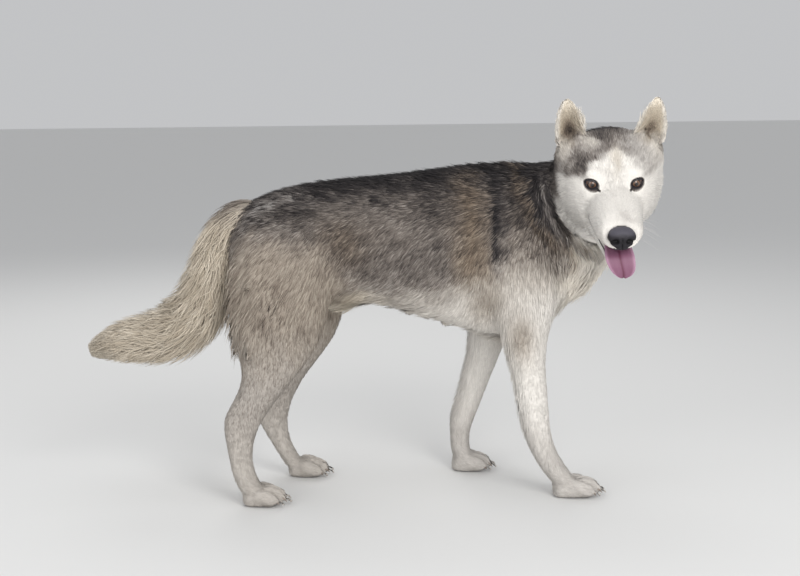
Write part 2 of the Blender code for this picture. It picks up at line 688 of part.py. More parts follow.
def make_parts(scratch):
    """The fused form cut into named parts, with the separate ones added."""
    torso = fused_form(scratch)
    parts = {}
    for name, (rows, toe_tip, length) in LEGS.items():
        kind, word = name.split("_")
        side = -1 if word == "right" else 1
        leg = add_object(kind + "leg_" + word, torso.data.copy(), scratch)
        boolean(leg, leg_cutter(kind, side, 0.0, scratch), "INTERSECT")
        boolean(torso, leg_cutter(kind, side, GAP, scratch), "DIFFERENCE")
        for claw in claws(name, toe_tip, length, rows[-1][3], scratch):
            boolean(leg, claw, "UNION")
        parts[leg.name] = leg
    parts["neck"] = split(torso, "neck", *NECK_CUT)
    parts["head"] = split(parts["neck"], "head", *HEAD_CUT)
    parts["torso"] = torso
    parts.update(finish_head(parts["head"], scratch))
    rows = [((x, y, z), core, core, core) for x, y, z, tips, core in TAIL]
    tail = path_loft("tail", rows, Vector((0, 1, 0)), scratch)
    thin_out(tail, 380)
    for name in ("torso", "hindleg_right", "hindleg_left"):
        boolean(parts[name], grown(tail, 2 * GAP), "DIFFERENCE")
    parts["tail"] = tail
    for part in parts.values():
        keep_largest(part)
    grow_coat(parts)
    for part in parts.values():
        part.data.transform(Matrix.Translation(MID_LINE))
    return parts


def between(ends, step, count):
    """The value at one of count even steps from the first end to the second."""
    return ends[0] + (ends[1] - ends[0]) * step / (count - 1)


def smooth_path(rows, along):
    """All the rows' numbers on a smooth curve through them, at a place from 0 to 1 along it."""
    place = min(max(along, 0.0), 1.0) * (len(rows) - 1)
    k = min(int(place), len(rows) - 2)
    t = place - k
    before, start, end, after = (rows[min(max(k + step, 0), len(rows) - 1)] for step in (-1, 0, 1, 2))
    return [
        0.5 * (2 * b + (c - a) * t + (2 * a - 5 * b + 4 * c - d) * t**2 + (3 * b - a - 3 * c + d) * t**3)
        for a, b, c, d in zip(before, start, end, after)
    ]


def lock_object(path, outward, width, thickness, collection):
    """One closed lock: a flat diamond section along three points, then a pointed tip."""
    bm = bmesh.new()
    rings = []
    for k, share in enumerate(LOCK_SHARES):
        along = (path[k + 1] - path[max(k - 1, 0)]).normalized()
        across = along.cross(outward[k]).normalized()
        up = across.cross(along)
        half, rise = width * share / 2, thickness * (1.0 - 0.2 * k) / 2
        corners = (across * half, up * rise, across * -half, up * -rise)
        rings.append([bm.verts.new(path[k] + corner) for corner in corners])
    tip = bm.verts.new(path[3])
    bm.faces.new(rings[0])
    for near, far in zip(rings, rings[1:]):
        for k in range(4):
            bm.faces.new((near[k], near[k - 1], far[k - 1]))
            bm.faces.new((near[k], far[k - 1], far[k]))
    for k in range(4):
        bm.faces.new((rings[2][k], rings[2][k - 1], tip))
    bmesh.ops.recalc_face_normals(bm, faces=bm.faces)
    mesh = bpy.data.meshes.new("lock")
    bm.to_mesh(mesh)
    bm.free()
    return add_object("lock", mesh, collection)


def is_inside(tree, spot):
    """Whether a ray from the spot leaves a closed surface an odd number of times."""
    crossings = 0
    direction = Vector((0.31, 0.53, 0.79)).normalized()
    hit = tree.ray_cast(spot, direction)[0]
    while hit is not None:
        crossings += 1
        hit = tree.ray_cast(hit + direction * 1e-5, direction)[0]
    return crossings % 2 == 1


class Coat:
    """Grows locks on the parts, each clear of the other parts and of the locks on them."""

    def __init__(self, parts):
        self.parts = parts
        self.random = random.Random(SEED)
        self.locks = {name: new_collection("locks_" + name) for name in parts}
        self.taken = []
        self.trees = {}
        for name, part in parts.items():
            points = [vertex.co.copy() for vertex in part.data.vertices]
            faces = [tuple(face.vertices) for face in part.data.polygons]
            self.trees[name] = BVHTree.FromPolygons(points, faces)

    def vary(self, value, share=0.12):
        return value * self.random.uniform(1 - share, 1 + share)

    def has_room(self, name, spots, reach):
        """Whether points of a lock on that part stay clear of all other parts and their locks."""
        for spot in spots:
            for other, tree in self.trees.items():
                gap = tree.find_nearest(spot)[3]
                if other != name and (gap < reach or (gap < 0.03 and is_inside(tree, spot))):
                    return False
            if any(other != name and (spot - place).length < 0.013 for other, place in self.taken):
                return False
        return True

    def add(self, name, path, outward, width, thickness):
        """Keeps a lock where it has room. The first point of its path lies in the part."""
        spots = []
        for k in range(1, 13):
            t = k / 4
            i = min(int(t), 2)
            along = path[i + 1] - path[i]
            across = along.cross(outward[min(i, 2)]).normalized() * width / 2 * min(1.0, 3.2 - t)
            middle = path[i] + along * (t - i)
            spots += [middle, middle + across, middle - across]
        if self.has_room(name, spots, thickness / 2 + LOCK_CLEAR):
            self.taken += [(name, spot) for spot in spots]
            lock_object(path, outward, width, thickness, self.locks[name])

    def over_surface(self, name, origin, inward, lie, locks):
        """A lock rooted where a ray meets the part, along the lie over its surface and its neighbours'."""
        spot, normal, _, _ = self.trees[name].ray_cast(origin, inward)
        if spot is None:
            return
        length = self.vary(locks.length)
        path, outward = [spot - normal * LOCK_SINK], [normal.copy()]
        for k in range(1, 4):
            along = (lie - normal * lie.dot(normal)).normalized()
            target = spot + along * length / 3
            found = [tree.find_nearest(target) for tree in self.trees.values()]
            spot, normal, _, _ = min(found, key=lambda near: near[3])
            path.append(spot + normal * (locks.lift * (k / 3) ** 0.7 + locks.thickness / 2))
            outward.append(normal.copy())
        self.add(name, path, outward, self.vary(locks.width), locks.thickness)

    def on_tail(self):
        """Rows round the tail, out from its core to the brush's outline, fewer at the tip."""
        total = sum((Vector(a[:3]) - Vector(b[:3])).length for a, b in zip(TAIL, TAIL[1:]))
        for row in range(TAIL_BRUSH.rows):
            last = row == TAIL_BRUSH.rows - 1
            start = between(TAIL_LOCK_SPAN, row, TAIL_BRUSH.rows)
            around = TAIL_BRUSH.in_row - 3 * last
            for k in range(around):
                angle = 2 * math.pi * (k + row % 2 / 2 + self.random.uniform(-0.12, 0.12)) / around
                reach = min(self.vary(TAIL_BRUSH.length) / total, 1.0 - start)
                path, outward = [], []
                for step in range(4):
                    place = start + reach * step / 3
                    x, y, z, tips, core = smooth_path(TAIL, place)
                    ahead, behind = (Vector(smooth_path(TAIL, place + by)[:3]) for by in (0.02, -0.02))
                    up = (ahead - behind).normalized().cross(LEFTWARD)
                    out = LEFTWARD * math.cos(angle) + up * math.sin(angle)
                    root = core - LOCK_SINK
                    path.append(Vector((x, y, z)) + out * (root + (tips - root) * (step / 3) ** 0.55))
                    outward.append(out)
                width = self.vary(TAIL_BRUSH.width) * (1.0 - 0.45 * start)
                self.add("tail", path, outward, width, TAIL_BRUSH.thickness)

    def on_breeches(self):
        """Rows down the back of each thigh."""
        for word, side in (("right", -1), ("left", 1)):
            for row in range(BREECHES.rows):
                height = between(BREECHES_HEIGHT, row, BREECHES.rows)
                for k in range(BREECHES.in_row):
                    y = side * (0.050 + 0.021 * (k + 0.4 * (row % 2)))
                    origin = Vector((-0.40, y, height))
                    lie = Vector((-0.10, 0, -1))
                    self.over_surface("hindleg_" + word, origin, Vector((1, 0, 0)), lie, BREECHES)

    def on_neck(self):
        """Rows round the neck's front and sides, further back on its inner side, where the head turns."""
        for row in range(NECK_RUFF.rows):
            for k in range(NECK_RUFF.in_row):
                angle = math.radians(-210 + 240 * (k + 0.5 * (row % 2)) / NECK_RUFF.in_row)
                out = Vector((-0.48 * math.sin(angle), math.cos(angle), 0.88 * math.sin(angle)))
                x = between(NECK_RUFF_SPAN, row, NECK_RUFF.rows) - 0.050 * max(0.0, -math.cos(angle))
                origin = Vector((x, 0, 0.44 + 0.55 * (x - 0.25))) + out * 0.3
                self.over_surface("neck", origin, -out, Vector((-0.8, 0, -0.6)), NECK_RUFF)

    def on_cheeks(self):
        """Rows down each cheek, from beside the ear to under the jaw."""
        matrix = head_matrix()
        turn = matrix.to_3x3()
        for side in (-1, 1):
            for row in range(CHEEK_RUFF.rows):
                centre = Vector((-CHEEK_BACK[side] - 0.019 * row, 0, -0.035))
                for k in range(CHEEK_RUFF.in_row):
                    angle = math.radians(20 - 110 * (k + 0.5 * (row % 2)) / CHEEK_RUFF.in_row)
                    out = Vector((0, side * math.cos(angle), math.sin(angle)))
                    origin = matrix @ (centre + out * 0.25)
                    self.over_surface("head", origin, turn @ -out, turn @ Vector((-0.8, 0, -0.6)), CHEEK_RUFF)

    def on_chest(self):
        """Rows down the front of the chest."""
        for row in range(CHEST_RUFF.rows):
            for k in range(CHEST_RUFF.in_row):
                y = 0.030 * (k - (CHEST_RUFF.in_row - 1) / 2 + 0.5 * (row % 2))
                origin = Vector((0.45, y, 0.315 - 0.03 * row))
                self.over_surface("torso", origin, Vector((-1, 0, 0)), Vector((-0.3, 0, -1)), CHEST_RUFF)

    def on_belly(self):
        """Rows along the keel of the chest and the belly."""
        for row in range(BELLY_FRINGE.rows):
            x = between(BELLY_SPAN, row, BELLY_FRINGE.rows)
            for k in range(BELLY_FRINGE.in_row):
                y = 0.024 * (k - (BELLY_FRINGE.in_row - 1) / 2 + 0.4 * (row % 2) - 0.2)
                origin = Vector((x, y, 0.15))
                self.over_surface("torso", origin, Vector((0, 0, 1)), Vector((-1, 0, -0.1)), BELLY_FRINGE)

    def join(self):
        """Unites each part with its locks and keeps the one closed surface."""
        for name, part in self.parts.items():
            if self.locks[name].objects:
                union = part.modifiers.new("locks", "BOOLEAN")
                union.operation = "UNION"
                union.operand_type = "COLLECTION"
                union.collection = self.locks[name]
                union.solver = "EXACT"
                apply_modifiers(part)
                keep_largest(part)
            for lock in list(self.locks[name].objects):
                bpy.data.objects.remove(lock)
            bpy.data.collections.remove(self.locks[name])


def grow_coat(parts):
    coat = Coat(parts)
    coat.on_tail()
    coat.on_breeches()
    coat.on_cheeks()
    coat.on_neck()
    coat.on_chest()
    coat.on_belly()
    coat.join()


LOOKS = {
    "eye": ("eye_brown", (0.10, 0.045, 0.02, 1.0), 0.12),
    "nose": ("nose_leather", (0.03, 0.028, 0.03, 1.0), 0.45),
    "tongue": ("tongue_pink", (0.62, 0.30, 0.34, 1.0), 0.35),
    "head": ("coat_white", COAT_WHITE, 0.9),
    "ear": ("coat_cream", COAT_CREAM, 0.9),
    "tail": ("coat_tail", COAT_CREAM, 0.9),
    "neck": ("coat_grey", COAT_GREY, 0.9),
    "torso": ("coat_grey", COAT_GREY, 0.9),
    "foreleg": ("coat_leg", COAT_WHITE, 0.9),
    "hindleg": ("coat_leg", COAT_WHITE, 0.9),
}


def main():
    clear_scene()
    scratch = new_collection("husky")
    parts = make_parts(scratch)
    for name, part in parts.items():
        part.name = name
        part.data.name = name
        look, colour, roughness = LOOKS[name.split("_")[0]]
        part.data.materials.clear()
        part.data.materials.append(material(f"{name}_{look}", colour, roughness))


main()
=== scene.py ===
"""The looks of a standing Siberian husky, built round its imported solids.

One skin is made from the solids of flesh, drawn in by the depth of the coat. Long and short fur grows
from it as joined meshes of thin tufts, combed along the lie of the coat. Eyes, lid rims, nose leather,
tongue, lips, whiskers and claws are pieces of their own. Metres, +Z up, +X to the dog's chest.
"""

import logging
import math
from dataclasses import dataclass, field
from enum import Enum

import bmesh
import bpy
import numpy as np
from mathutils import Matrix, Vector
from mathutils.bvhtree import BVHTree
from mathutils.kdtree import KDTree


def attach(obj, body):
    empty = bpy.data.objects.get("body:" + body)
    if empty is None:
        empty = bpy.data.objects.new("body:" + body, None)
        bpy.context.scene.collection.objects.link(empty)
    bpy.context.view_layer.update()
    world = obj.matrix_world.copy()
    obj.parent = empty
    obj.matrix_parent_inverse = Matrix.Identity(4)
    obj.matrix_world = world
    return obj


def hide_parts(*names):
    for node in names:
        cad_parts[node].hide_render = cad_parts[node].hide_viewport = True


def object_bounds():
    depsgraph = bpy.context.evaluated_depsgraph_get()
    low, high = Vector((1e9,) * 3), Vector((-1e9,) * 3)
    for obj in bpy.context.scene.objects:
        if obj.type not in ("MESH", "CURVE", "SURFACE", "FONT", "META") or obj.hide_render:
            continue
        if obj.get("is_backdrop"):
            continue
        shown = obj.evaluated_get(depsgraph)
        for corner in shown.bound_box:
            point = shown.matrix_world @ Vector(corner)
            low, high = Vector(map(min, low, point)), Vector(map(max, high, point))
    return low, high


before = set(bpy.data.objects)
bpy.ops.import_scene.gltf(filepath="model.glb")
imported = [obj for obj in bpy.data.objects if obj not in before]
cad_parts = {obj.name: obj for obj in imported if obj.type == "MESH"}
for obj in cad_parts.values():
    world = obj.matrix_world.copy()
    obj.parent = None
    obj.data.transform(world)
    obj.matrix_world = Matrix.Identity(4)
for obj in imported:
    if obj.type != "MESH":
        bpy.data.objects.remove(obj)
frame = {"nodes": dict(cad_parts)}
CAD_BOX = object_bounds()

LOG = logging.getLogger("husky")
BODY = "root"
SEED = 20

MID_LINE = np.array((0.043, 0.043, 0.0))  # from the dog's own frame, on its middle plane, to the row frame
EYE_POINT = np.array((0.331, -0.110, 0.518))
HEAD_DROP = 0.0040  # the shown head sits this much lower than the solids', as in the photograph
HEAD_YAW, HEAD_PITCH, HEAD_ROLL = np.radians((-95.0, 19.5, 1.0))
EYE_CENTRE = np.array((-0.0050, 0.0335, -0.0010))  # left eye, in the head's frame
EYE_RADIUS = 0.0108
EYE_TURN = math.radians(14.0)
GAZE_IN = math.radians(9.0)  # each eye looks this much nearer the middle than its lids face
LID_SLANT = math.radians(17.0)
LID_OPENING = (0.0112, 0.0068)  # half width, half height

FLESH = ("torso", "neck", "head", "foreleg_right", "foreleg_left", "hindleg_right", "hindleg_left")
FOOT_TOP = 0.052  # below this a leg is paw
# Each paw's toe tips, length and distance from the middle plane
PAWS = {"right_fore": (0.325, 0.088, -0.085), "left_fore": (0.168, 0.078, 0.085),
        "right_hind": (-0.190, 0.078, -0.080), "left_hind": (-0.118, 0.078, 0.080)}

# Photograph: camera place relative to the dog's own frame, and its turns
LENS_PIXELS = 1280.0
PHOTO_SIZE = (800, 576)
HORIZON_ROW = 105.0
CAMERA_DISTANCE = 2.10
CAMERA_HEIGHT = 0.638
CAMERA_AZIMUTH = math.radians(-4.0)
CAMERA_ROLL = math.radians(0.6)

# Tail stations from the croup: x, y, z, radius out to the tips of the brush, radius of the core
TAIL = np.array((
    (-0.232, 0.000, 0.470, 0.028, 0.024),
    (-0.261, 0.000, 0.454, 0.043, 0.024),
    (-0.289, 0.001, 0.416, 0.049, 0.023),
    (-0.306, 0.002, 0.365, 0.054, 0.024),
    (-0.328, 0.003, 0.314, 0.060, 0.025),
    (-0.364, 0.004, 0.278, 0.060, 0.025),
    (-0.407, 0.005, 0.263, 0.053, 0.021),
    (-0.450, 0.006, 0.258, 0.044, 0.017),
    (-0.486, 0.007, 0.251, 0.031, 0.011),
    (-0.512, 0.008, 0.243, 0.012, 0.005),
))
# Ear rows in the head's frame: height, inner edge, outer edge, depth of the cup
EAR = np.array((
    (0.0300, 0.0420, 0.0830, 0.0150),
    (0.0495, 0.0345, 0.0865, 0.0160),
    (0.0650, 0.0365, 0.0880, 0.0150),
    (0.0805, 0.0425, 0.0870, 0.0120),
    (0.0959, 0.0495, 0.0850, 0.0085),
    (0.1085, 0.0560, 0.0810, 0.0050),
    (0.1172, 0.0615, 0.0765, 0.0025),
    (0.1216, 0.0660, 0.0720, 0.0010),
))
EAR_FRONT = -0.048
EAR_THICKNESS = 0.0036


class Region(Enum):
    """Parts of the skin, each with its own lie and length of coat."""

    TORSO = 0
    NECK = 1
    HEAD = 2
    FORELEG_RIGHT = 3
    FORELEG_LEFT = 4
    HINDLEG_RIGHT = 5
    HINDLEG_LEFT = 6
    TAIL = 7
    EAR_RIGHT = 8
    EAR_LEFT = 9


def ease(low: float, high: float, value: np.ndarray) -> np.ndarray:
    """Smooth step: 0 at low, 1 at high, 3t² - 2t³ between. It falls where low is the larger.

    Args:
        low: value that gives 0.
        high: value that gives 1.
        value: numbers to map.

    Returns:
        An array like value, from 0 to 1.
    """
    t = np.clip((value - low) / (high - low), 0.0, 1.0)
    return t * t * (3.0 - 2.0 * t)


def bump_at(value: np.ndarray, centre: float, half: float) -> np.ndarray:
    """A bell, 1 at the centre and near 0 beyond the half width: exp(-(d / half)²)."""
    return np.exp(-(((value - centre) / half) ** 2))


def unit(vectors: np.ndarray) -> np.ndarray:
    """Each row divided by its length."""
    return vectors / np.maximum(np.linalg.norm(vectors, axis=-1, keepdims=True), 1e-12)


def mix(first: np.ndarray, second: np.ndarray, share: np.ndarray) -> np.ndarray:
    """first where share is 0, second where it is 1. A share per row works on rows of vectors."""
    if np.ndim(first) > np.ndim(share) or np.ndim(second) > np.ndim(share):
        share = np.asarray(share)[..., None]
    return first + (second - first) * share


def wander(points: np.ndarray, size: float, seed: int) -> np.ndarray:
    """Soft noise from -1 to 1: a sum of sines along seeded directions, with waves about that size.

    Args:
        points: places, one row each.
        size: wavelength in metres.
        seed: picks the directions.

    Returns:
        One number for each place.
    """
    rng = np.random.default_rng(seed)
    waves = rng.normal(size=(7, 3))
    waves *= (2 * np.pi / size) / np.linalg.norm(waves, axis=1, keepdims=True) * rng.uniform(0.6, 1.7, (7, 1))
    return np.sin(points @ waves.T + rng.uniform(0, 2 * np.pi, 7)).sum(axis=1) / 3.2


def rotation(axis: int, angle: float) -> np.ndarray:
    """The 3 by 3 matrix of a turn about X (0), Y (1) or Z (2)."""
    c, s = math.cos(angle), math.sin(angle)
    i, j = [(1, 2), (2, 0), (0, 1)][axis]
    turn = np.eye(3)
    turn[i, i], turn[i, j], turn[j, i], turn[j, j] = c, -s, s, c
    return turn


@dataclass(frozen=True)
class Frame3:
    """A turned and moved set of axes: columns of turn are its X, Y and Z in the row frame."""

    turn: np.ndarray
    origin: np.ndarray

    def out(self, local: np.ndarray) -> np.ndarray:
        """Places in this frame, in the row frame."""
        return np.asarray(local) @ self.turn.T + self.origin

    def into(self, points: np.ndarray) -> np.ndarray:
        """Places in the row frame, in this frame."""
        return (np.asarray(points) - self.origin) @ self.turn

    def out_way(self, local: np.ndarray) -> np.ndarray:
        """Directions in this frame, in the row frame."""
        return np.asarray(local) @ self.turn.T

    def within(self, turn: np.ndarray, origin: np.ndarray) -> "Frame3":
        """A frame given relative to this one."""
        return Frame3(self.turn @ turn, self.out(origin))


HEAD = Frame3(
    rotation(2, HEAD_YAW) @ rotation(1, HEAD_PITCH) @ rotation(0, HEAD_ROLL),
    EYE_POINT + MID_LINE - (0.0, 0.0, HEAD_DROP),
)


def ear_edges(height: np.ndarray, side: np.ndarray) -> tuple[np.ndarray, np.ndarray, np.ndarray]:
    """The ear's inner and outer edges and the depth of its cup at a height. The left one reaches further in.

    Args:
        height: heights in the head's frame.
        side: 1 on the dog's left, -1 on its right.

    Returns:
        Distances from the middle of the head, and the depth.
    """
    inner, outer, cup = (np.interp(height, EAR[:, 0], EAR[:, k]) for k in (1, 2, 3))
    return inner - (0.0035 + 0.0040 * side) * ease(0.085, 0.050, height), outer, cup


def ear_place(h: np.ndarray) -> tuple[np.ndarray, np.ndarray]:
    """Where a place near an ear is: from -1 at its inner edge to 1 at its outer one, and how far ahead of its cup."""
    inner, outer, cup = ear_edges(h[:, 2], np.sign(h[:, 1]))
    t = (np.abs(h[:, 1]) - (inner + outer) / 2) / ((outer - inner) / 2)
    bow = 1 - np.clip(t, -1, 1) ** 2
    return t, (h[:, 0] - (EAR_FRONT - 0.10 * (h[:, 2] - 0.05) - cup * bow)) / (EAR_THICKNESS * (0.72 + 0.45 * bow))


def eye_frame(side: int) -> Frame3:
    """The axes of an eye, X along its gaze, Y towards the dog's left and Z up, tilted as its lids are."""
    turn = rotation(2, side * EYE_TURN) @ rotation(0, side * LID_SLANT)
    return HEAD.within(turn, EYE_CENTRE * (1, side, 1))


def along_rows(rows: np.ndarray, places: np.ndarray) -> np.ndarray:
    """Rows of sizes read on a smooth Catmull-Rom curve through them.

    Args:
        rows: one row of numbers per station.
        places: from 0 at the first row to 1 at the last.

    Returns:
        One row of numbers per place.
    """
    last = len(rows) - 1
    at = np.clip(places, 0.0, 1.0) * last
    k = np.minimum(at.astype(int), last - 1)
    t = (at - k)[..., None]
    a, b, c, d = (rows[np.clip(k + step, 0, last)] for step in (-1, 0, 1, 2))
    return 0.5 * (2 * b + (c - a) * t + (2 * a - 5 * b + 4 * c - d) * t**2 + (3 * b - a - 3 * c + d) * t**3)


@dataclass
class Surface:
    """Points and faces of a mesh, with values kept for each point."""

    points: np.ndarray
    faces: np.ndarray
    values: dict[str, np.ndarray] = field(default_factory=dict)
    linked: tuple[np.ndarray, np.ndarray, np.ndarray] | None = None

    def normals(self) -> np.ndarray:
        """A unit normal for each point, the sum of its faces' area normals."""
        a, b, c = (self.points[self.faces[:, k]] for k in range(3))
        face = np.cross(b - a, c - a)
        if self.faces.shape[1] == 4:
            face = np.cross(c - a, self.points[self.faces[:, 3]] - b)
        total = np.zeros_like(self.points)
        for k in range(self.faces.shape[1]):
            for axis in range(3):
                total[:, axis] += np.bincount(self.faces[:, k], face[:, axis], len(self.points))
        return unit(total)

    def links(self) -> tuple[np.ndarray, np.ndarray, np.ndarray]:
        """Each edge both ways, as start and end points, and how many edges each point has. Found once."""
        if self.linked is None:
            pairs = np.concatenate([self.faces[:, [k, (k + 1) % 3]] for k in range(3)])
            low, high = pairs.min(axis=1), pairs.max(axis=1)
            keys = np.unique(low.astype(np.int64) * len(self.points) + high)
            low, high = keys // len(self.points), keys % len(self.points)
            start, end = np.concatenate([low, high]), np.concatenate([high, low])
            self.linked = start, end, np.maximum(np.bincount(start, minlength=len(self.points)), 1)
        return self.linked

    def diffused(self, values: np.ndarray, rounds: int, share: float = 0.5) -> np.ndarray:
        """Values blended with the mean of their neighbours', again and again.

        Args:
            values: one number or row of numbers per point.
            rounds: how many times.
            share: how much of the mean is taken each time.

        Returns:
            The blended values.
        """
        start, end, count = self.links()
        columns = values.reshape(len(values), -1).astype(float)
        for _ in range(rounds):
            for k in range(columns.shape[1]):
                mean = np.bincount(start, columns[end, k], len(self.points)) / count
                columns[:, k] += share * (mean - columns[:, k])
        return columns.reshape(values.shape)

    def largest_part(self) -> "Surface":
        """The biggest run of joined points, with its faces. Loose scraps are left out."""
        start, end, _ = self.links()
        mark = np.arange(len(self.points))
        while True:
            lower = mark.copy()
            np.minimum.at(lower, start, mark[end])
            lower = lower[lower]
            if (lower == mark).all():
                break
            mark = lower
        keep = mark == np.bincount(mark).argmax()
        number = np.cumsum(keep) - 1
        return Surface(self.points[keep], number[self.faces[keep[self.faces].all(axis=1)]])


def mesh_of(name: str, surface: Surface) -> bpy.types.Mesh:
    """A smooth-shaded Blender mesh with the surface's values as point attributes."""
    mesh = bpy.data.meshes.new(name)
    count, sides = surface.faces.shape
    mesh.vertices.add(len(surface.points))
    mesh.vertices.foreach_set("co", surface.points.astype(np.float32).ravel())
    mesh.loops.add(count * sides)
    mesh.loops.foreach_set("vertex_index", surface.faces.astype(np.int32).ravel())
    mesh.polygons.add(count)
    mesh.polygons.foreach_set("loop_start", np.arange(0, count * sides, sides, dtype=np.int32))
    mesh.update(calc_edges=True)
    mesh.shade_smooth()
    for key, values in surface.values.items():
        kind, word = {1: ("FLOAT", "value"), 3: ("FLOAT_VECTOR", "vector")}[1 if values.ndim == 1 else 3]
        attribute = mesh.attributes.new(key, kind, "POINT")
        attribute.data.foreach_set(word, values.astype(np.float32).ravel())
    return mesh


def publish(name: str, mesh: bpy.types.Mesh, material: bpy.types.Material, slot: str, *nodes: str) -> bpy.types.Object:
    """Puts a finished mesh in the scene as a piece of the dog.

    Args:
        name: the piece's name.
        mesh: its mesh, in the row frame.
        material: its finish.
        slot: not used.
        nodes: solids that it stands for.

    Returns:
        The new object.
    """
    piece = bpy.data.objects.new(name, mesh)
    bpy.context.scene.collection.objects.link(piece)
    mesh.materials.append(material)
    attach(piece, BODY)
    if nodes:
        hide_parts(*nodes)
    LOG.info("%s: %d faces", name, len(mesh.polygons))
    return piece


def grid_faces(rows: int, columns: int, closed: bool) -> np.ndarray:
    """Quads of a grid of points numbered row by row, its columns joined round where closed."""
    r = np.arange(rows - 1)[:, None]
    c = np.arange(columns if closed else columns - 1)[None, :]
    n = (c + 1) % columns
    quads = np.stack([r * columns + c, r * columns + n, (r + 1) * columns + n, (r + 1) * columns + c], axis=-1)
    return quads.reshape(-1, 4)


def tube(path: np.ndarray, across: np.ndarray, up: np.ndarray, half: np.ndarray, rise: np.ndarray, sides: int,
         closed: bool = False) -> Surface:
    """A grid round a path: point + across·half·cos(a) + up·rise·sin(a), as triangles with closed ends.

    Args:
        path: centres, one row each.
        across: unit vectors across the path.
        up: unit vectors square to both.
        half: half width at each centre.
        rise: half thickness at each centre.
        sides: points round the section.
        closed: whether the path runs back into its start.

    Returns:
        The closed surface, faces outwards.
    """
    angle = np.arange(sides) * 2 * np.pi / sides
    ring = (path[:, None] + across[:, None] * (half[:, None, None] * np.cos(angle)[None, :, None])
            + up[:, None] * (rise[:, None, None] * np.sin(angle)[None, :, None]))
    rows = len(path)
    points = ring.reshape(-1, 3)
    quads = grid_faces(rows, sides, True)
    if closed:
        seam = grid_faces(2, sides, True)
        seam = np.where(seam >= sides, seam - sides, seam + (rows - 1) * sides)
        quads = np.concatenate([quads, seam])
    triangles = [quads[:, [0, 1, 2]], quads[:, [0, 2, 3]]]
    if not closed:
        first, last = len(points), len(points) + 1
        points = np.concatenate([points, path[:1], path[-1:]])
        k = np.arange(sides)
        n = (k + 1) % sides
        triangles.append(np.stack([np.full(sides, first), n, k], axis=1))
        triangles.append(np.stack([np.full(sides, last), k + (rows - 1) * sides, n + (rows - 1) * sides], axis=1))
    faces = np.concatenate(triangles)
    a, b, c = (points[faces[:, k]] for k in range(3))
    if np.einsum("ij,ij->", a, np.cross(b, c)) < 0:
        faces = faces[:, ::-1]
    return Surface(points, faces)


def joined(surfaces: list[Surface]) -> Surface:
    """Several surfaces as one, their values kept."""
    starts = np.cumsum([0] + [len(s.points) for s in surfaces[:-1]])
    values = {key: np.concatenate([s.values[key] for s in surfaces]) for key in surfaces[0].values}
    faces = np.concatenate([s.faces + start for s, start in zip(surfaces, starts)])
    return Surface(np.concatenate([s.points for s in surfaces]), faces, values)


class Nodes:
    """Short words for adding linked nodes to a tree."""

    def __init__(self, tree: bpy.types.NodeTree) -> None:
        self.tree = tree

    def add(self, kind: str, **settings: object) -> bpy.types.Node:
        """A new node with these settings."""
        node = self.tree.nodes.new(kind)
        node.location = (180 * (len(self.tree.nodes) % 9), -220 * (len(self.tree.nodes) // 9))
        for key, value in settings.items():
            setattr(node, key, value)
        return node

    def feed(self, socket: bpy.types.NodeSocket, value: object) -> None:
        """Links another node's output to the socket, or sets its constant."""
        if isinstance(value, bpy.types.NodeSocket):
            self.tree.links.new(value, socket)
        else:
            socket.default_value = value

    def math(self, operation: str, first: object, second: object = 0.0, clamp: bool = False) -> bpy.types.NodeSocket:
        """The output of a Math node."""
        node = self.add("ShaderNodeMath", operation=operation, use_clamp=clamp)
        self.feed(node.inputs[0], first)
        self.feed(node.inputs[1], second)
        return node.outputs[0]

    def blend(self, share: object, first: object, second: object, way: str = "MIX") -> bpy.types.NodeSocket:
        """Two colours mixed."""
        node = self.add("ShaderNodeMix", data_type="RGBA", blend_type=way, clamp_factor=True)
        self.feed(node.inputs[0], share)
        self.feed(node.inputs[6], first)
        self.feed(node.inputs[7], second)
        return node.outputs[2]

    def ramp(self, value: object, stops: list[tuple[float, tuple]]) -> bpy.types.NodeSocket:
        """A colour read from stops between 0 and 1."""
        node = self.add("ShaderNodeValToRGB")
        elements = node.color_ramp.elements
        while len(elements) < len(stops):
            elements.new(0.5)
        for element, (place, colour) in zip(elements, stops):
            element.position = place
            element.color = colour
        self.feed(node.inputs[0], value)
        return node.outputs[0]

    def attribute(self, name: str) -> tuple:
        """The three numbers of a point attribute, or its one number three times."""
        node = self.add("ShaderNodeAttribute", attribute_name=name)
        split = self.add("ShaderNodeSeparateXYZ")
        self.feed(split.inputs[0], node.outputs["Vector"])
        return tuple(split.outputs)

    def noise(self, scale: float, detail: float = 3.0, place: object = None) -> bpy.types.NodeSocket:
        """Noise on Object coordinates, or on the given ones."""
        node = self.add("ShaderNodeTexNoise")
        self.feed(node.inputs["Scale"], scale)
        self.feed(node.inputs["Detail"], detail)
        if place is None:
            place = self.add("ShaderNodeTexCoord").outputs["Object"]
        self.feed(node.inputs["Vector"], place)
        return node.outputs[0]

    def cells(self, scale: float) -> bpy.types.NodeSocket:
        """Distance to the middles of scattered cells, on Object coordinates."""
        node = self.add("ShaderNodeTexVoronoi")
        self.feed(node.inputs["Scale"], scale)
        self.feed(node.inputs["Vector"], self.add("ShaderNodeTexCoord").outputs["Object"])
        return node.outputs["Distance"]

    def bump(self, height: object, strength: float, distance: float) -> bpy.types.NodeSocket:
        """A normal bent by a height."""
        node = self.add("ShaderNodeBump")
        self.feed(node.inputs["Strength"], strength)
        self.feed(node.inputs["Distance"], distance)
        self.feed(node.inputs["Height"], height)
        return node.outputs[0]


def linear(red: float, green: float, blue: float) -> tuple[float, float, float, float]:
    """A display colour, 0 to 255 a channel, as linear light."""
    return (*(((c / 255 + 0.055) / 1.055) ** 2.4 if c > 10 else c / 255 / 12.92 for c in (red, green, blue)), 1.0)


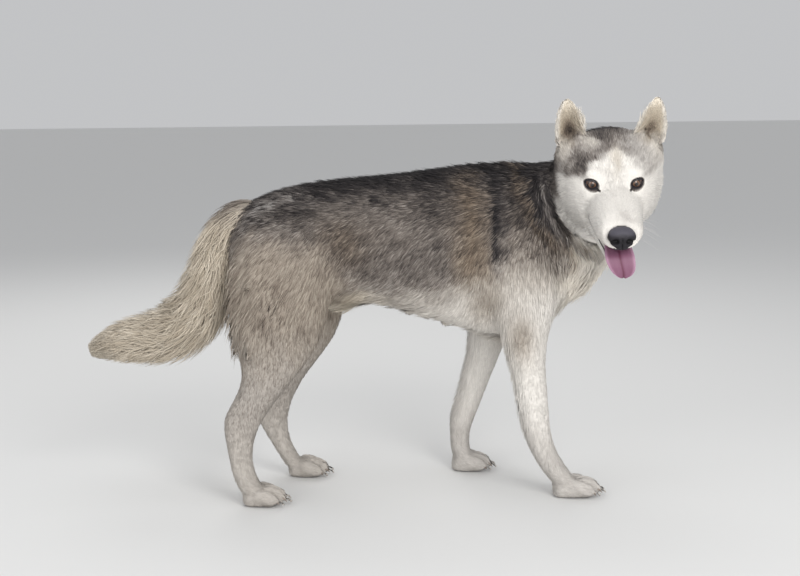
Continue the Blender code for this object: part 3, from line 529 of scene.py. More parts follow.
class Tint:
    """Named colours of the dog."""

    WHITE = linear(243, 240, 235)
    SILVER = linear(186, 182, 179)
    GREY = linear(122, 116, 112)
    CHARCOAL = linear(66, 62, 62)
    BLACK = linear(20, 19, 22)
    CREAM = linear(240, 228, 208)
    TAN = linear(192, 177, 154)
    BROWN = linear(132, 116, 100)
    UMBER = linear(74, 65, 58)
    LEATHER = linear(34, 32, 36)
    IRIS = linear(90, 63, 47)
    IRIS_EDGE = linear(38, 20, 12)
    PUPIL = linear(4, 3, 4)
    SCLERA = linear(96, 70, 58)
    TONGUE = linear(126, 84, 106)
    TONGUE_EDGE = linear(170, 132, 154)
    MOUTH = linear(70, 34, 36)
    CLAW = linear(140, 128, 118)
    WHISKER = linear(190, 188, 186)
    FLOOR = linear(226, 226, 225)


@dataclass(frozen=True)
class Finish:
    """The plain numbers of a Principled material."""

    name: str
    colour: tuple[float, float, float, float]
    roughness: float
    coat: float = 0.0
    specular: float = 0.5


FUR = Finish("husky_fur", Tint.GREY, 0.78, specular=0.22)
SKIN = Finish("husky_skin", Tint.GREY, 0.85, specular=0.18)
EYE = Finish("husky_eye", Tint.IRIS, 0.10, coat=0.9)
RIM = Finish("husky_lid_rim", Tint.LEATHER, 0.36)
NOSE_LEATHER = Finish("husky_nose", Tint.LEATHER, 0.58, specular=0.26)
TONGUE_FLESH = Finish("husky_tongue", Tint.TONGUE, 0.42, specular=0.35)
CLAW = Finish("husky_claw", Tint.CLAW, 0.42)
WHISKER = Finish("husky_whisker", Tint.WHISKER, 0.45)
FLOOR = Finish("studio_floor", Tint.FLOOR, 0.9, specular=0.1)


class Palette:
    """Makes the materials, each once."""

    def __init__(self) -> None:
        self.made: dict[str, bpy.types.Material] = {}
        self.fur_group = self._fur_group()

    def _fur_group(self) -> bpy.types.NodeTree:
        """The coat's colour from how dark and warm a hair is, how far along it, and its own chance number."""
        group = bpy.data.node_groups.new("fur_colour", "ShaderNodeTree")
        for name in ("Dark", "Warm", "Chance", "Along"):
            group.interface.new_socket(name=name, in_out="INPUT", socket_type="NodeSocketFloat")
        group.interface.new_socket(name="Colour", in_out="OUTPUT", socket_type="NodeSocketColor")
        n = Nodes(group)
        given = n.add("NodeGroupInput").outputs
        # Mid-grey hairs are banded: pale below and dark at the tip
        pale = n.math("SUBTRACT", 1.0, given["Dark"])
        banded = n.math("MULTIPLY", n.math("MULTIPLY", given["Dark"], given["Dark"]), n.math("MULTIPLY", pale, 1.7))
        tipping = n.math("MULTIPLY", n.math("SUBTRACT", given["Along"], 0.42), 1.2)
        chance = n.math("MULTIPLY", n.math("SUBTRACT", given["Chance"], 0.5), 0.7)
        shift = n.math("MULTIPLY", banded, n.math("ADD", tipping, chance))
        dark = n.math("ADD", given["Dark"], shift, clamp=True)
        stops = (0.0, 0.34, 0.62, 0.82, 1.0)
        cool = (Tint.WHITE, Tint.SILVER, Tint.GREY, Tint.CHARCOAL, Tint.BLACK)
        warm = (Tint.CREAM, Tint.TAN, Tint.BROWN, Tint.UMBER, Tint.BLACK)
        colour = n.blend(given["Warm"], n.ramp(dark, list(zip(stops, cool))), n.ramp(dark, list(zip(stops, warm))))
        light = n.math("ADD", n.math("MULTIPLY", given["Chance"], 0.12), 0.91)
        # Roots are in shade, less so in pale fur
        deep = n.math("ADD", n.math("MULTIPLY", given["Dark"], 0.34), 0.08)
        shade = n.math("MULTIPLY", n.math("SUBTRACT", 1.0, n.math("MULTIPLY", given["Along"], 2.2, clamp=True)), deep)
        value = n.math("MULTIPLY", light, n.math("SUBTRACT", 1.0, shade))
        grey = n.add("ShaderNodeCombineColor")
        for k in range(3):
            n.feed(grey.inputs[k], value)
        out = n.add("NodeGroupOutput")
        n.feed(out.inputs["Colour"], n.blend(1.0, colour, grey.outputs[0], "MULTIPLY"))
        return group

    def _plain(self, finish: Finish) -> tuple[bpy.types.Material, Nodes, bpy.types.Node]:
        """A material with the finish's numbers, its tree and its Principled node."""
        made = bpy.data.materials.new(finish.name)
        made.use_nodes = True
        shader = made.node_tree.nodes["Principled BSDF"]
        shader.inputs["Base Color"].default_value = finish.colour
        shader.inputs["Roughness"].default_value = finish.roughness
        shader.inputs["Coat Weight"].default_value = finish.coat
        shader.inputs["Coat Roughness"].default_value = 0.04
        shader.inputs["Specular IOR Level"].default_value = finish.specular
        self.made[finish.name] = made
        return made, Nodes(made.node_tree), shader

    def plain(self, finish: Finish) -> bpy.types.Material:
        """A material of one colour, made once."""
        return self.made.get(finish.name) or self._plain(finish)[0]

    def _fur_colour(self, n: Nodes, along: object) -> bpy.types.NodeSocket:
        """The group's colour for a piece with the attribute tone."""
        dark, warm, chance = n.attribute("tone")
        group = n.add("ShaderNodeGroup", node_tree=self.fur_group)
        for name, value in (("Dark", dark), ("Warm", warm), ("Chance", chance), ("Along", along)):
            n.feed(group.inputs[name], value)
        return group.outputs["Colour"]

    def fur(self) -> bpy.types.Material:
        """Tufts: the coat's colours with fine streaks along each."""
        if FUR.name in self.made:
            return self.made[FUR.name]
        made, n, shader = self._plain(FUR)
        across, along, seed = n.attribute("strand")
        place = n.add("ShaderNodeCombineXYZ")
        n.feed(place.inputs[0], n.math("MULTIPLY", across, 3.4))
        n.feed(place.inputs[1], n.math("MULTIPLY", along, 0.5))
        n.feed(place.inputs[2], seed)
        streak = n.noise(1.6, 1.0, place.outputs[0])
        light = n.math("ADD", n.math("MULTIPLY", streak, 0.56), 0.72)
        grey = n.add("ShaderNodeCombineColor")
        for k in range(3):
            n.feed(grey.inputs[k], light)
        n.feed(shader.inputs["Base Color"], n.blend(1.0, self._fur_colour(n, along), grey.outputs[0], "MULTIPLY"))
        n.feed(shader.inputs["Normal"], n.bump(streak, 0.5, 0.0006))
        return made

    def skin(self) -> bpy.types.Material:
        """The skin: the coat's own markings, with bare lips, mouth and soles."""
        if SKIN.name in self.made:
            return self.made[SKIN.name]
        made, n, shader = self._plain(SKIN)
        mouth, leather, _ = n.attribute("bare")
        colour = self._fur_colour(n, 0.30)
        colour = n.blend(mouth, colour, Tint.MOUTH)
        n.feed(shader.inputs["Base Color"], n.blend(leather, colour, Tint.LEATHER))
        n.feed(shader.inputs["Normal"], n.bump(n.noise(700.0, 2.0), 0.4, 0.0008))
        return made

    def eye(self) -> bpy.types.Material:
        """Pupil, radial iris with a dark edge, and the dark white of the eye."""
        made, n, shader = self._plain(EYE)
        polar, around, _ = n.attribute("gaze")
        place = n.add("ShaderNodeCombineXYZ")
        n.feed(place.inputs[0], n.math("MULTIPLY", around, 9.0))
        n.feed(place.inputs[1], n.math("MULTIPLY", polar, 2.0))
        rays = n.noise(2.2, 3.0, place.outputs[0])
        spread = n.math("ADD", polar, n.math("MULTIPLY", n.math("SUBTRACT", rays, 0.5), 0.05))
        colour = n.ramp(
            spread,
            [
                (0.0, Tint.PUPIL), (0.20, Tint.PUPIL), (0.235, Tint.IRIS_EDGE), (0.30, Tint.IRIS),
                (0.50, linear(118, 90, 70)), (0.585, Tint.IRIS_EDGE), (0.64, linear(24, 15, 12)), (0.95, Tint.SCLERA),
            ],
        )
        n.feed(shader.inputs["Base Color"], colour)
        return made

    def nose(self) -> bpy.types.Material:
        """Pebbled leather, with painted shade in the nostrils and the groove between them, and a painted highlight on
        top.
        """
        made, n, shader = self._plain(NOSE_LEATHER)
        shaded_hollow, top, _ = n.attribute("relief_painted_light")
        # Painted highlight on the top of the nose, painted shade in the nostrils and their groove
        colour = n.blend(top, Tint.LEATHER, linear(76, 74, 82))
        n.feed(shader.inputs["Base Color"], n.blend(shaded_hollow, colour, linear(10, 9, 10)))
        n.feed(shader.inputs["Normal"], n.bump(n.cells(620.0), 0.55, 0.0006))
        n.feed(shader.inputs["Roughness"], n.math("ADD", n.math("MULTIPLY", n.noise(240.0), 0.25), 0.40))
        return made

    def tongue(self) -> bpy.types.Material:
        """Moist flesh with fine bumps, paler along its edge, with painted shade down its middle groove."""
        made, n, shader = self._plain(TONGUE_FLESH)
        edge, groove, _ = n.attribute("relief_painted_light")
        colour = n.blend(edge, Tint.TONGUE, Tint.TONGUE_EDGE)
        # Painted shade down the middle groove
        n.feed(shader.inputs["Base Color"], n.blend(groove, colour, linear(98, 50, 70)))
        n.feed(shader.inputs["Normal"], n.bump(n.cells(1100.0), 0.35, 0.0004))
        return made


# How dark (0 white, 1 black) and how warm (0 grey, 1 tan) the coat is
class Markings:
    """The coat's pattern as soft bands and patches in the dog's own frame and its head's."""

    TOP_X = np.array((-0.29, -0.24, -0.19, -0.13, -0.065, 0.0, 0.065, 0.125, 0.18, 0.23, 0.30))
    TOP_Z = np.array((0.436, 0.497, 0.516, 0.525, 0.529, 0.532, 0.542, 0.552, 0.556, 0.546, 0.54))

    def body(self, p: np.ndarray) -> tuple[np.ndarray, np.ndarray]:
        """Trunk and shoulders: dark saddle and topline, grey flanks, pale belly, bands behind the shoulder.

        Args:
            p: places in the dog's own frame.

        Returns:
            How dark and how warm each is.
        """
        x, z = p[:, 0] + 0.006 * wander(p, 0.05, 3), p[:, 2] + 0.006 * wander(p, 0.06, 4)
        below = np.interp(x, self.TOP_X, self.TOP_Z) - z
        pale_edge = np.interp(x, (-0.30, -0.20, -0.10, 0.05, 0.14, 0.20, 0.28), (0.36, 0.36, 0.325, 0.325, 0.35, 0.385, 0.43))
        dark = mix(0.24, 0.63, ease(pale_edge - 0.030, pale_edge + 0.065, z))
        warm = mix(0.30, 0.20, ease(pale_edge, pale_edge + 0.05, z))
        # Silver rump with a dark slant before the thigh
        rump = ease(-0.13, -0.20, x) * ease(0.16, 0.05, below) * (1 - 0.6 * ease(-0.225, -0.245, x) * ease(0.045, 0.070, below))
        dark = mix(dark, 0.62, rump * 0.8)
        slant = bump_at(z - np.interp(x, (-0.28, -0.21, -0.14), (0.440, 0.473, 0.466)), 0.0, 0.011) * ease(-0.12, -0.16, x)
        dark = mix(dark, 0.90, 0.85 * slant)
        brown = bump_at(x, -0.095, 0.04) * bump_at(z, 0.420, 0.035)
        dark, warm = mix(dark, 0.70, 0.7 * brown), mix(warm, 0.85, 0.8 * brown)
        hip = bump_at(x, -0.252, 0.028) * bump_at(z, 0.432, 0.034)
        dark, warm = mix(dark, 0.44, 0.8 * hip), mix(warm, 0.5, 0.8 * hip)
        # Black along the back
        top = ease(0.056, 0.010, below + 0.010 * wander(p, 0.03, 5)) * ease(-0.29, -0.22, x)
        dark, warm = mix(dark, 0.92, 0.9 * top), mix(warm, 0.05, top)
        silver = bump_at(x, -0.215, 0.055) * bump_at(below, 0.024, 0.018)
        fleck = ease(0.1, 0.7, wander(p, 0.016, 23))
        dark, warm = mix(dark, mix(0.40, 0.84, fleck), 0.95 * silver), mix(warm, 0.05, silver)
        flank = bump_at(x, 0.045, 0.035) * bump_at(z, 0.485, 0.035)
        dark = mix(dark, 0.82, 0.75 * flank)
        side = bump_at(x, -0.01, 0.05) * bump_at(z, 0.43, 0.05)
        dark, warm = mix(dark, 0.54, 0.5 * side), mix(warm, 0.35, 0.5 * side)
        # Tan band, black stripe, olive band and grey shoulder
        tan = bump_at(x, 0.108, 0.028) * ease(0.33, 0.38, z) * ease(0.545, 0.50, z)
        dark, warm = mix(dark, np.interp(z, (0.37, 0.41, 0.50), (0.60, 0.58, 0.70)), 0.9 * tan), mix(warm, 0.95, tan)
        half = np.interp(z, (0.36, 0.42, 0.50, 0.56), (0.005, 0.007, 0.011, 0.017))
        stripe = np.exp(-(((x - 0.151) / half) ** 2)) * ease(0.345, 0.42, z)
        shoulder = ease(0.158, 0.172, x)
        fall = np.interp(z, (0.34, 0.38, 0.42, 0.46, 0.50), (0.24, 0.44, 0.58, 0.74, 0.86))
        dark, warm = mix(dark, fall, shoulder), mix(warm, 0.35, shoulder)
        past = x - np.interp(z, (0.38, 0.405, 0.43, 0.47, 0.50, 0.54), (0.262, 0.245, 0.228, 0.204, 0.190, 0.187))
        olive = bump_at(past, 0.0, 0.011) * ease(0.385, 0.42, z)
        dark, warm = mix(dark, 0.70 + 0.10 * wander(p, 0.011, 21), olive), mix(warm, 0.80, olive)
        ahead = ease(0.008, 0.018, past)
        levels = (0.345, 0.365, 0.395, 0.43, 0.46, 0.52)
        dark = mix(dark, np.interp(z, levels, (0.03, 0.16, 0.48, 0.74, 0.82, 0.86)), ahead)
        warm = mix(warm, np.interp(z, levels, (0.50, 0.65, 0.70, 0.20, 0.05, 0.0)), ahead)
        dark, warm = mix(dark, 0.94, 0.92 * stripe), mix(warm, 0.0, stripe)
        # Painted shade in the wrinkles and in the groove under the right cheek, a painted highlight along the fold's
        # ridge, then chest, throat and underside
        h = HEAD.into(p + MID_LINE)
        out = face_ring(h)
        right = ease(0.01, -0.02, h[:, 1]) * ease(-0.10, -0.05, h[:, 0]) * ease(0.05, 0.02, h[:, 0])
        turn = np.arctan2(-h[:, 2], -h[:, 1]) + 0.12 * wander(p, 0.03, 22)
        wrinkle_shade = ease(0.60, 0.95, np.cos(turn * 46)) * bump_at(out, 1.42, 0.14) * ease(-0.06, -0.09, h[:, 2])
        dark = mix(dark, 0.84, 0.75 * wrinkle_shade * right)
        dark = mix(dark, 0.84, 0.85 * bump_at(out, 1.03, 0.05) * right * ease(-0.125, -0.085, h[:, 2]))
        dark, warm = mix(dark, 0.56, 0.8 * bump_at(out, 1.15, 0.03) * right), mix(warm, 0.0, 0.8 * bump_at(out, 1.15, 0.04) * right)
        throat = ease(0.265, 0.300, x) * ease(-0.080, -0.050, p[:, 1]) * ease(0.50, 0.46, z - 0.08 * ease(0.0, 0.04, h[:, 1]))
        dark, warm = mix(dark, 0.04, throat), mix(warm, 0.4, throat)
        front = ease(0.225, 0.262, x) * ease(0.375, 0.345, z)
        dark, warm = mix(dark, 0.03, front), mix(warm, 0.55, front)
        under = ease(0.325, 0.285, z)
        dark, warm = mix(dark, 0.14, 0.9 * under), mix(warm, 0.35, 0.9 * under)
        sheath = bump_at(x, -0.090, 0.040) * ease(0.340, 0.325, z)
        dark, warm = mix(dark, 0.10, sheath), mix(warm, 0.9, sheath)
        return dark + 0.05 * wander(p, 0.022, 6), warm

    def head(self, p: np.ndarray, h: np.ndarray) -> tuple[np.ndarray, np.ndarray]:
        """Head: white face, grey brows and crown, ticked cheeks, charcoal behind.

        Args:
            p: places in the dog's own frame, for the noise.
            h: the same places in the head's frame.

        Returns:
            How dark and how warm each is.
        """
        u = h[:, 0]
        v = h[:, 1] + 0.003 * wander(p, 0.03, 9)
        w = h[:, 2] + 0.003 * wander(p, 0.03, 10)
        dark, warm = np.full(len(h), 0.06), np.full(len(h), 0.12)
        # Painted shade along the crease between muzzle and cheek, and below it on the right side of the muzzle
        crease_shade = bump_at(np.abs(v) - np.interp(w, (-0.072, -0.055, -0.040), (0.031, 0.042, 0.048)), 0.0, 0.0042)
        dark = mix(dark, 0.52, 0.7 * crease_shade * ease(-0.080, -0.070, w) * ease(-0.032, -0.040, w) * ease(0.02, 0.035, u))
        flew_shade = bump_at(v, -0.029, 0.009) * bump_at(w, -0.052, 0.012) * ease(0.02, 0.04, u)
        dark = mix(dark, 0.30, 0.7 * flew_shade)
        # Grey above a line that peaks in the middle of the brow and ends at the temples
        line = np.interp(v, (-0.092, -0.062, -0.039, -0.023, 0.0, 0.025, 0.047, 0.067, 0.085),
                         (-0.006, 0.003, 0.022, 0.035, 0.045, 0.038, 0.022, 0.006, 0.010))
        above = ease(-0.005, 0.007, w - line) * ease(0.03, 0.0, u)
        shade = np.interp(v, (-0.10, -0.080, -0.055, -0.030, 0.0, 0.030, 0.055, 0.085), (0.22, 0.48, 0.78, 0.66, 0.54, 0.42, 0.28, 0.14))
        fade = bump_at(w - line, 0.004, 0.034)
        dark = mix(dark, mix(shade * 0.50, shade, fade), above)
        pale = bump_at(v, -0.034, 0.013) * bump_at(w, 0.053, 0.009)
        dark, warm = mix(dark, 0.12, 0.85 * pale), mix(warm, 0.4, 0.7 * pale)
        crown = bump_at(v, -0.006, 0.034) * ease(0.054, 0.066, w)
        dark = mix(dark, 0.78, 0.95 * crown)
        streak = bump_at(v, -0.004, 0.0065) * ease(0.040, 0.052, w)
        dark = mix(dark, 0.66, 0.75 * streak)
        brush = bump_at(np.abs(v), 0.082, 0.014) * bump_at(w, 0.046, 0.014)
        dark, warm = mix(dark, 0.14, 0.85 * brush), mix(warm, 0.5, 0.85 * brush)
        # Painted brown shadow low in each ear's cup, where the head's fur covers the ear's root
        cup = bump_at(np.where(v < 0, -v - 0.006, v), 0.060, 0.010) * bump_at(w, 0.063, 0.013) * ease(-0.085, -0.060, u)
        dark, warm = mix(dark, 0.74, 0.9 * cup), mix(warm, 0.95, cup)
        for side, deep in ((-1, 0.66), (1, 0.46)):
            reach = side * v
            tear = bump_at(reach - 0.4 * (w - 0.012), 0.057, 0.011) * bump_at(w, 0.012, 0.009)
            dark = mix(dark, deep, 0.7 * tear)
            pip = bump_at(reach, 0.028, 0.009) * bump_at(w, 0.019, 0.008)
            dark = mix(dark, 0.02, 0.9 * pip)
        back = ease(-0.062, -0.092, u + 0.25 * (np.abs(v) - 0.06) + 0.03 * ease(0.0, 0.05, v))
        back *= ease(0.0, 0.055, w + 0.075 - 0.075 * ease(0.0, 0.03, v))
        dark, warm = mix(dark, 0.86, back), mix(warm, 0.05, back)
        edge = ease(0.86, 0.94, face_ring(h)) * ease(-0.055, -0.030, w) * ease(0.034, 0.018, w) * ease(-0.05, -0.07, v)
        dark, warm = mix(dark, 0.74, 0.9 * edge), mix(warm, 0.1, edge)
        peak = bump_at(v, 0.003, 0.009) * bump_at(w, 0.034, 0.020)
        dark, warm = mix(dark, 0.19, 0.7 * peak), mix(warm, 0.6, 0.7 * peak)
        smudge = bump_at(u, 0.080, 0.012) * bump_at(v, 0.010, 0.013) * ease(-0.045, -0.03, w)
        dark = mix(dark, 0.34, 0.7 * smudge)
        for side in (-1, 1):
            eye = eye_frame(side).into(HEAD.out(h))
            ring = np.hypot(eye[:, 1] / 0.0132, eye[:, 2] / 0.0094)
            tear = np.hypot((eye[:, 1] + side * 0.0135) / 0.0035, (eye[:, 2] + 0.0020) / 0.0016)
            close = ease(1.10, 0.95, np.minimum(ring, tear)) * ease(-0.012, -0.004, eye[:, 0])
            dark, warm = mix(dark, 0.90, close), mix(warm, 0.2, close)
        return dark + 0.03 * wander(p, 0.012, 11) * ease(0.1, 0.3, dark), warm

    def leg(self, p: np.ndarray) -> tuple[np.ndarray, np.ndarray]:
        """Legs: pale grey-white, a little tan behind, ticked with grey over the thigh, greyer on the hind legs and low
        on the forelegs, partly off-white coat and partly painted shade, with painted shade in furrows over the thigh.
        """
        z = p[:, 2] + 0.008 * wander(p, 0.05, 12)
        hind = ease(0.0, -0.06, p[:, 0])
        thigh = hind * ease(0.17, 0.32, z)
        # Greyer hind legs and darker lower forelegs: partly off-white coat, partly painted shade
        pale = mix(0.08, 0.42, hind) + 0.18 * ease(0.16, 0.06, z) * (1 - 1.6 * hind)
        dark = mix(pale, 0.47, thigh)
        warm = mix(mix(0.15, 0.26, hind), 0.60, thigh)
        # Painted shade in dark furrows of the coat over the hind thigh
        furrow_shade = ease(0.55, 0.9, np.sin(680 * p[:, 0] + 90 * z + 2.2 * wander(p, 0.03, 24)))
        dark = mix(dark, 0.82, 0.8 * furrow_shade * bump_at(p[:, 0], -0.212, 0.020) * bump_at(z, 0.315, 0.045) * (hind > 0.5))
        high = hind * ease(0.41, 0.46, z)
        dark = mix(dark, 0.40, high)
        tick = bump_at(wander(p, 0.03, 13), 0.9, 0.35) * thigh
        dark = mix(dark, 0.66, 0.5 * tick)
        shoulder = (1 - hind) * ease(0.33, 0.42, z)
        return mix(dark, 0.45, shoulder), mix(warm, 0.4, shoulder)

    def tail(self, p: np.ndarray) -> tuple[np.ndarray, np.ndarray]:
        """Tail: tan-grey above, paler below and at the tip."""
        tip = ease(-0.44, -0.50, p[:, 0])
        above = 0.5 + 0.5 * wander(p, 0.035, 14)
        return mix(0.16 + 0.14 * above, 0.54, ease(0.44, 0.485, p[:, 2])) - 0.04 * tip, mix(0.80, 0.40, ease(0.44, 0.485, p[:, 2]))

    def ear(self, h: np.ndarray) -> tuple[np.ndarray, np.ndarray]:
        """Ears: dark backs with cream edges, cream cups with a brown shadow, pale rims."""
        t, ahead = ear_place(h)
        behind = ease(-0.55, -0.90, ahead)
        rim = ease(0.60, 0.90, np.abs(t))
        # The brown shadow in each cup is painted shade, painted deeper in the dog's right ear
        shadow = bump_at(t, 0.12, 0.46) * bump_at(h[:, 2], 0.061, 0.023)
        deep = np.where(h[:, 1] < 0, 0.84, 0.60)
        dark = mix(mix(0.18, deep, shadow), 0.02, np.maximum(rim, ease(0.098, 0.110, h[:, 2])))
        warm = mix(0.80, 0.40, rim)
        back = mix(mix(0.66, 0.10, rim), 0.18, ease(0.100, 0.112, h[:, 2]))
        return mix(dark, back, behind), mix(warm, 0.3, behind)

    def tone(self, places: np.ndarray, shares: np.ndarray) -> np.ndarray:
        """How dark and warm the coat is, blended over the regions.

        Args:
            places: places in the row frame.
            shares: how much of each region a place is.

        Returns:
            Two columns, dark and warm.
        """
        p, h = places - MID_LINE, HEAD.into(places)
        leg, ear, trunk = self.leg(p), self.ear(h), self.body(p)
        found = {
            Region.TORSO: trunk, Region.NECK: trunk, Region.HEAD: self.head(p, h),
            Region.FORELEG_RIGHT: leg, Region.FORELEG_LEFT: leg, Region.HINDLEG_RIGHT: leg,
            Region.HINDLEG_LEFT: leg, Region.TAIL: self.tail(p), Region.EAR_RIGHT: ear, Region.EAR_LEFT: ear,
        }
        total = np.zeros((len(places), 2))
        for region, (dark, warm) in found.items():
            pair = np.stack([dark, warm], axis=1)
            if region in (Region.FORELEG_RIGHT, Region.FORELEG_LEFT):  # the trunk's pattern runs over their tops
                over = ease(0.29, 0.37, p[:, 2])[:, None]
                pair = pair * (1 - over) + np.stack(trunk, axis=1) * over
            total += pair * shares[:, [region.value]]
        # Painted shade, over some real grey-tan coat, where the foreleg meets the trunk, and pale fur beside the ears'
        # roots
        fold = bump_at(p[:, 0], 0.132, 0.030) * bump_at(p[:, 2], 0.322, 0.042)
        elbow_shade = bump_at(p[:, 0], 0.186, 0.024) * bump_at(p[:, 2], 0.265, 0.040)
        body_only = 1 - shares[:, Region.EAR_RIGHT.value] - shares[:, Region.EAR_LEFT.value]
        total = mix(total, np.array((0.50, 0.50)), 0.85 * np.clip(fold + elbow_shade, 0, 1))
        total = mix(total, np.array((0.20, 0.40)), 0.9 * beside_ears(h) * body_only)
        return np.clip(total, 0.0, 1.0)


@dataclass(frozen=True)
class Pelt:
    """Sizes of the coat on a part of the body, in metres: a tuft's length, how high its tip stands, its width,
    how deep the skin lies under the solids, and how closely the tuft keeps to the skin, 0 to 1."""

    length: float
    rise: float
    width: float
    depth: float
    cling: float = 1.0

    def row(self) -> np.ndarray:
        """The sizes as numbers."""
        return np.array((self.length, self.rise, self.width, self.depth, self.cling))


PELTS = {
    Region.TORSO: Pelt(0.019, 0.0062, 0.0015, 0.0066),
    Region.NECK: Pelt(0.025, 0.0085, 0.0017, 0.0078),
    Region.HEAD: Pelt(0.0095, 0.0022, 0.0012, 0.0018),
    Region.FORELEG_RIGHT: Pelt(0.0100, 0.0013, 0.0012, 0.0022),
    Region.FORELEG_LEFT: Pelt(0.0100, 0.0013, 0.0012, 0.0022),
    Region.HINDLEG_RIGHT: Pelt(0.0105, 0.0015, 0.0012, 0.0022),
    Region.HINDLEG_LEFT: Pelt(0.0105, 0.0015, 0.0012, 0.0022),
    Region.TAIL: Pelt(0.040, 0.0100, 0.0026, 0.0010),
    Region.EAR_RIGHT: Pelt(0.0075, 0.0012, 0.0010, 0.0006),
    Region.EAR_LEFT: Pelt(0.0075, 0.0012, 0.0010, 0.0006),
}
THIGH = Pelt(0.018, 0.0038, 0.0014, 0.0050)
BREECHES = Pelt(0.044, 0.0100, 0.0021, 0.0080, 0.45)
UPPER_ARM = Pelt(0.018, 0.0042, 0.0014, 0.0048)
BELLY = Pelt(0.027, 0.0090, 0.0016, 0.0085, 0.6)
CHEST = Pelt(0.028, 0.0100, 0.0018, 0.0090, 0.8)
FEATHER = Pelt(0.024, 0.0050, 0.0018, 0.0034, 0.6)
PAW = Pelt(0.0080, 0.0017, 0.0012, 0.0012)
MUZZLE = Pelt(0.0055, 0.0010, 0.0009, 0.0009)
CHEEK = Pelt(0.013, 0.0034, 0.0012, 0.0040)
NAPE = Pelt(0.026, 0.0065, 0.0019, 0.0060)
EAR_ROOT = Pelt(0.0100, 0.0022, 0.0012, 0.0034)
EYELID = Pelt(0.0040, 0.0007, 0.0007, 0.0009)
EAR_EDGE = Pelt(0.0110, 0.0022, 0.0012, 0.0006)
CUP_WISP = Pelt(0.0170, 0.0055, 0.0015, 0.0006, 0.5)


def almond(local: np.ndarray, grow: float = 0.0) -> np.ndarray:
    """How far out a place is across the lids' opening: 1 on its edge, where z = B(1 - (y/A)²)^0.675."""
    a, b = LID_OPENING[0] + grow, LID_OPENING[1] + grow
    return np.sqrt((local[..., 1] / a) ** 2 + (np.abs(local[..., 2]) / b) ** (2 / 1.35))


def face_ring(h: np.ndarray) -> np.ndarray:
    """How far out a place is across the face, seen from ahead: 1 on an oval along the edge of the cheeks."""
    return np.hypot(h[:, 1] / 0.095, (h[:, 2] + 0.010) / 0.108)


def of_face(h: np.ndarray) -> np.ndarray:
    """How surely a place in the head's frame is on the head and not on the neck."""
    return ease(1.02, 0.95, face_ring(h) + 3.2 * np.maximum(-0.075 - h[:, 0], 0))


def beside_ears(h: np.ndarray) -> np.ndarray:
    """How surely a place is on the outer side of an ear's root or just behind it."""
    return bump_at(np.abs(h[:, 1]), 0.086, 0.020) * bump_at(h[:, 2], 0.044, 0.026) * ease(-0.130, -0.095, h[:, 0])


def in_mouth(h: np.ndarray) -> np.ndarray:
    """How surely a place is inside the open mouth, between the muzzle's underside and the lower jaw's top."""
    middle = np.interp(h[:, 0], (0.0, 0.03, 0.09, 0.10), (-0.0620, -0.0690, -0.0815, -0.0830))
    half = np.interp(h[:, 0], (0.0, 0.03, 0.09, 0.10), (0.0015, 0.0070, 0.0125, 0.0130))
    wide = np.interp(h[:, 0], (0.0, 0.05, 0.085, 0.10), (0.036, 0.030, 0.0215, 0.0150))
    between = ease(1.35, 0.95, np.abs(h[:, 2] - middle) / half)
    return between * ease(0.006, -0.002, np.abs(h[:, 1]) - wide) * ease(0.0, 0.012, h[:, 0]) * ease(0.108, 0.100, h[:, 0])


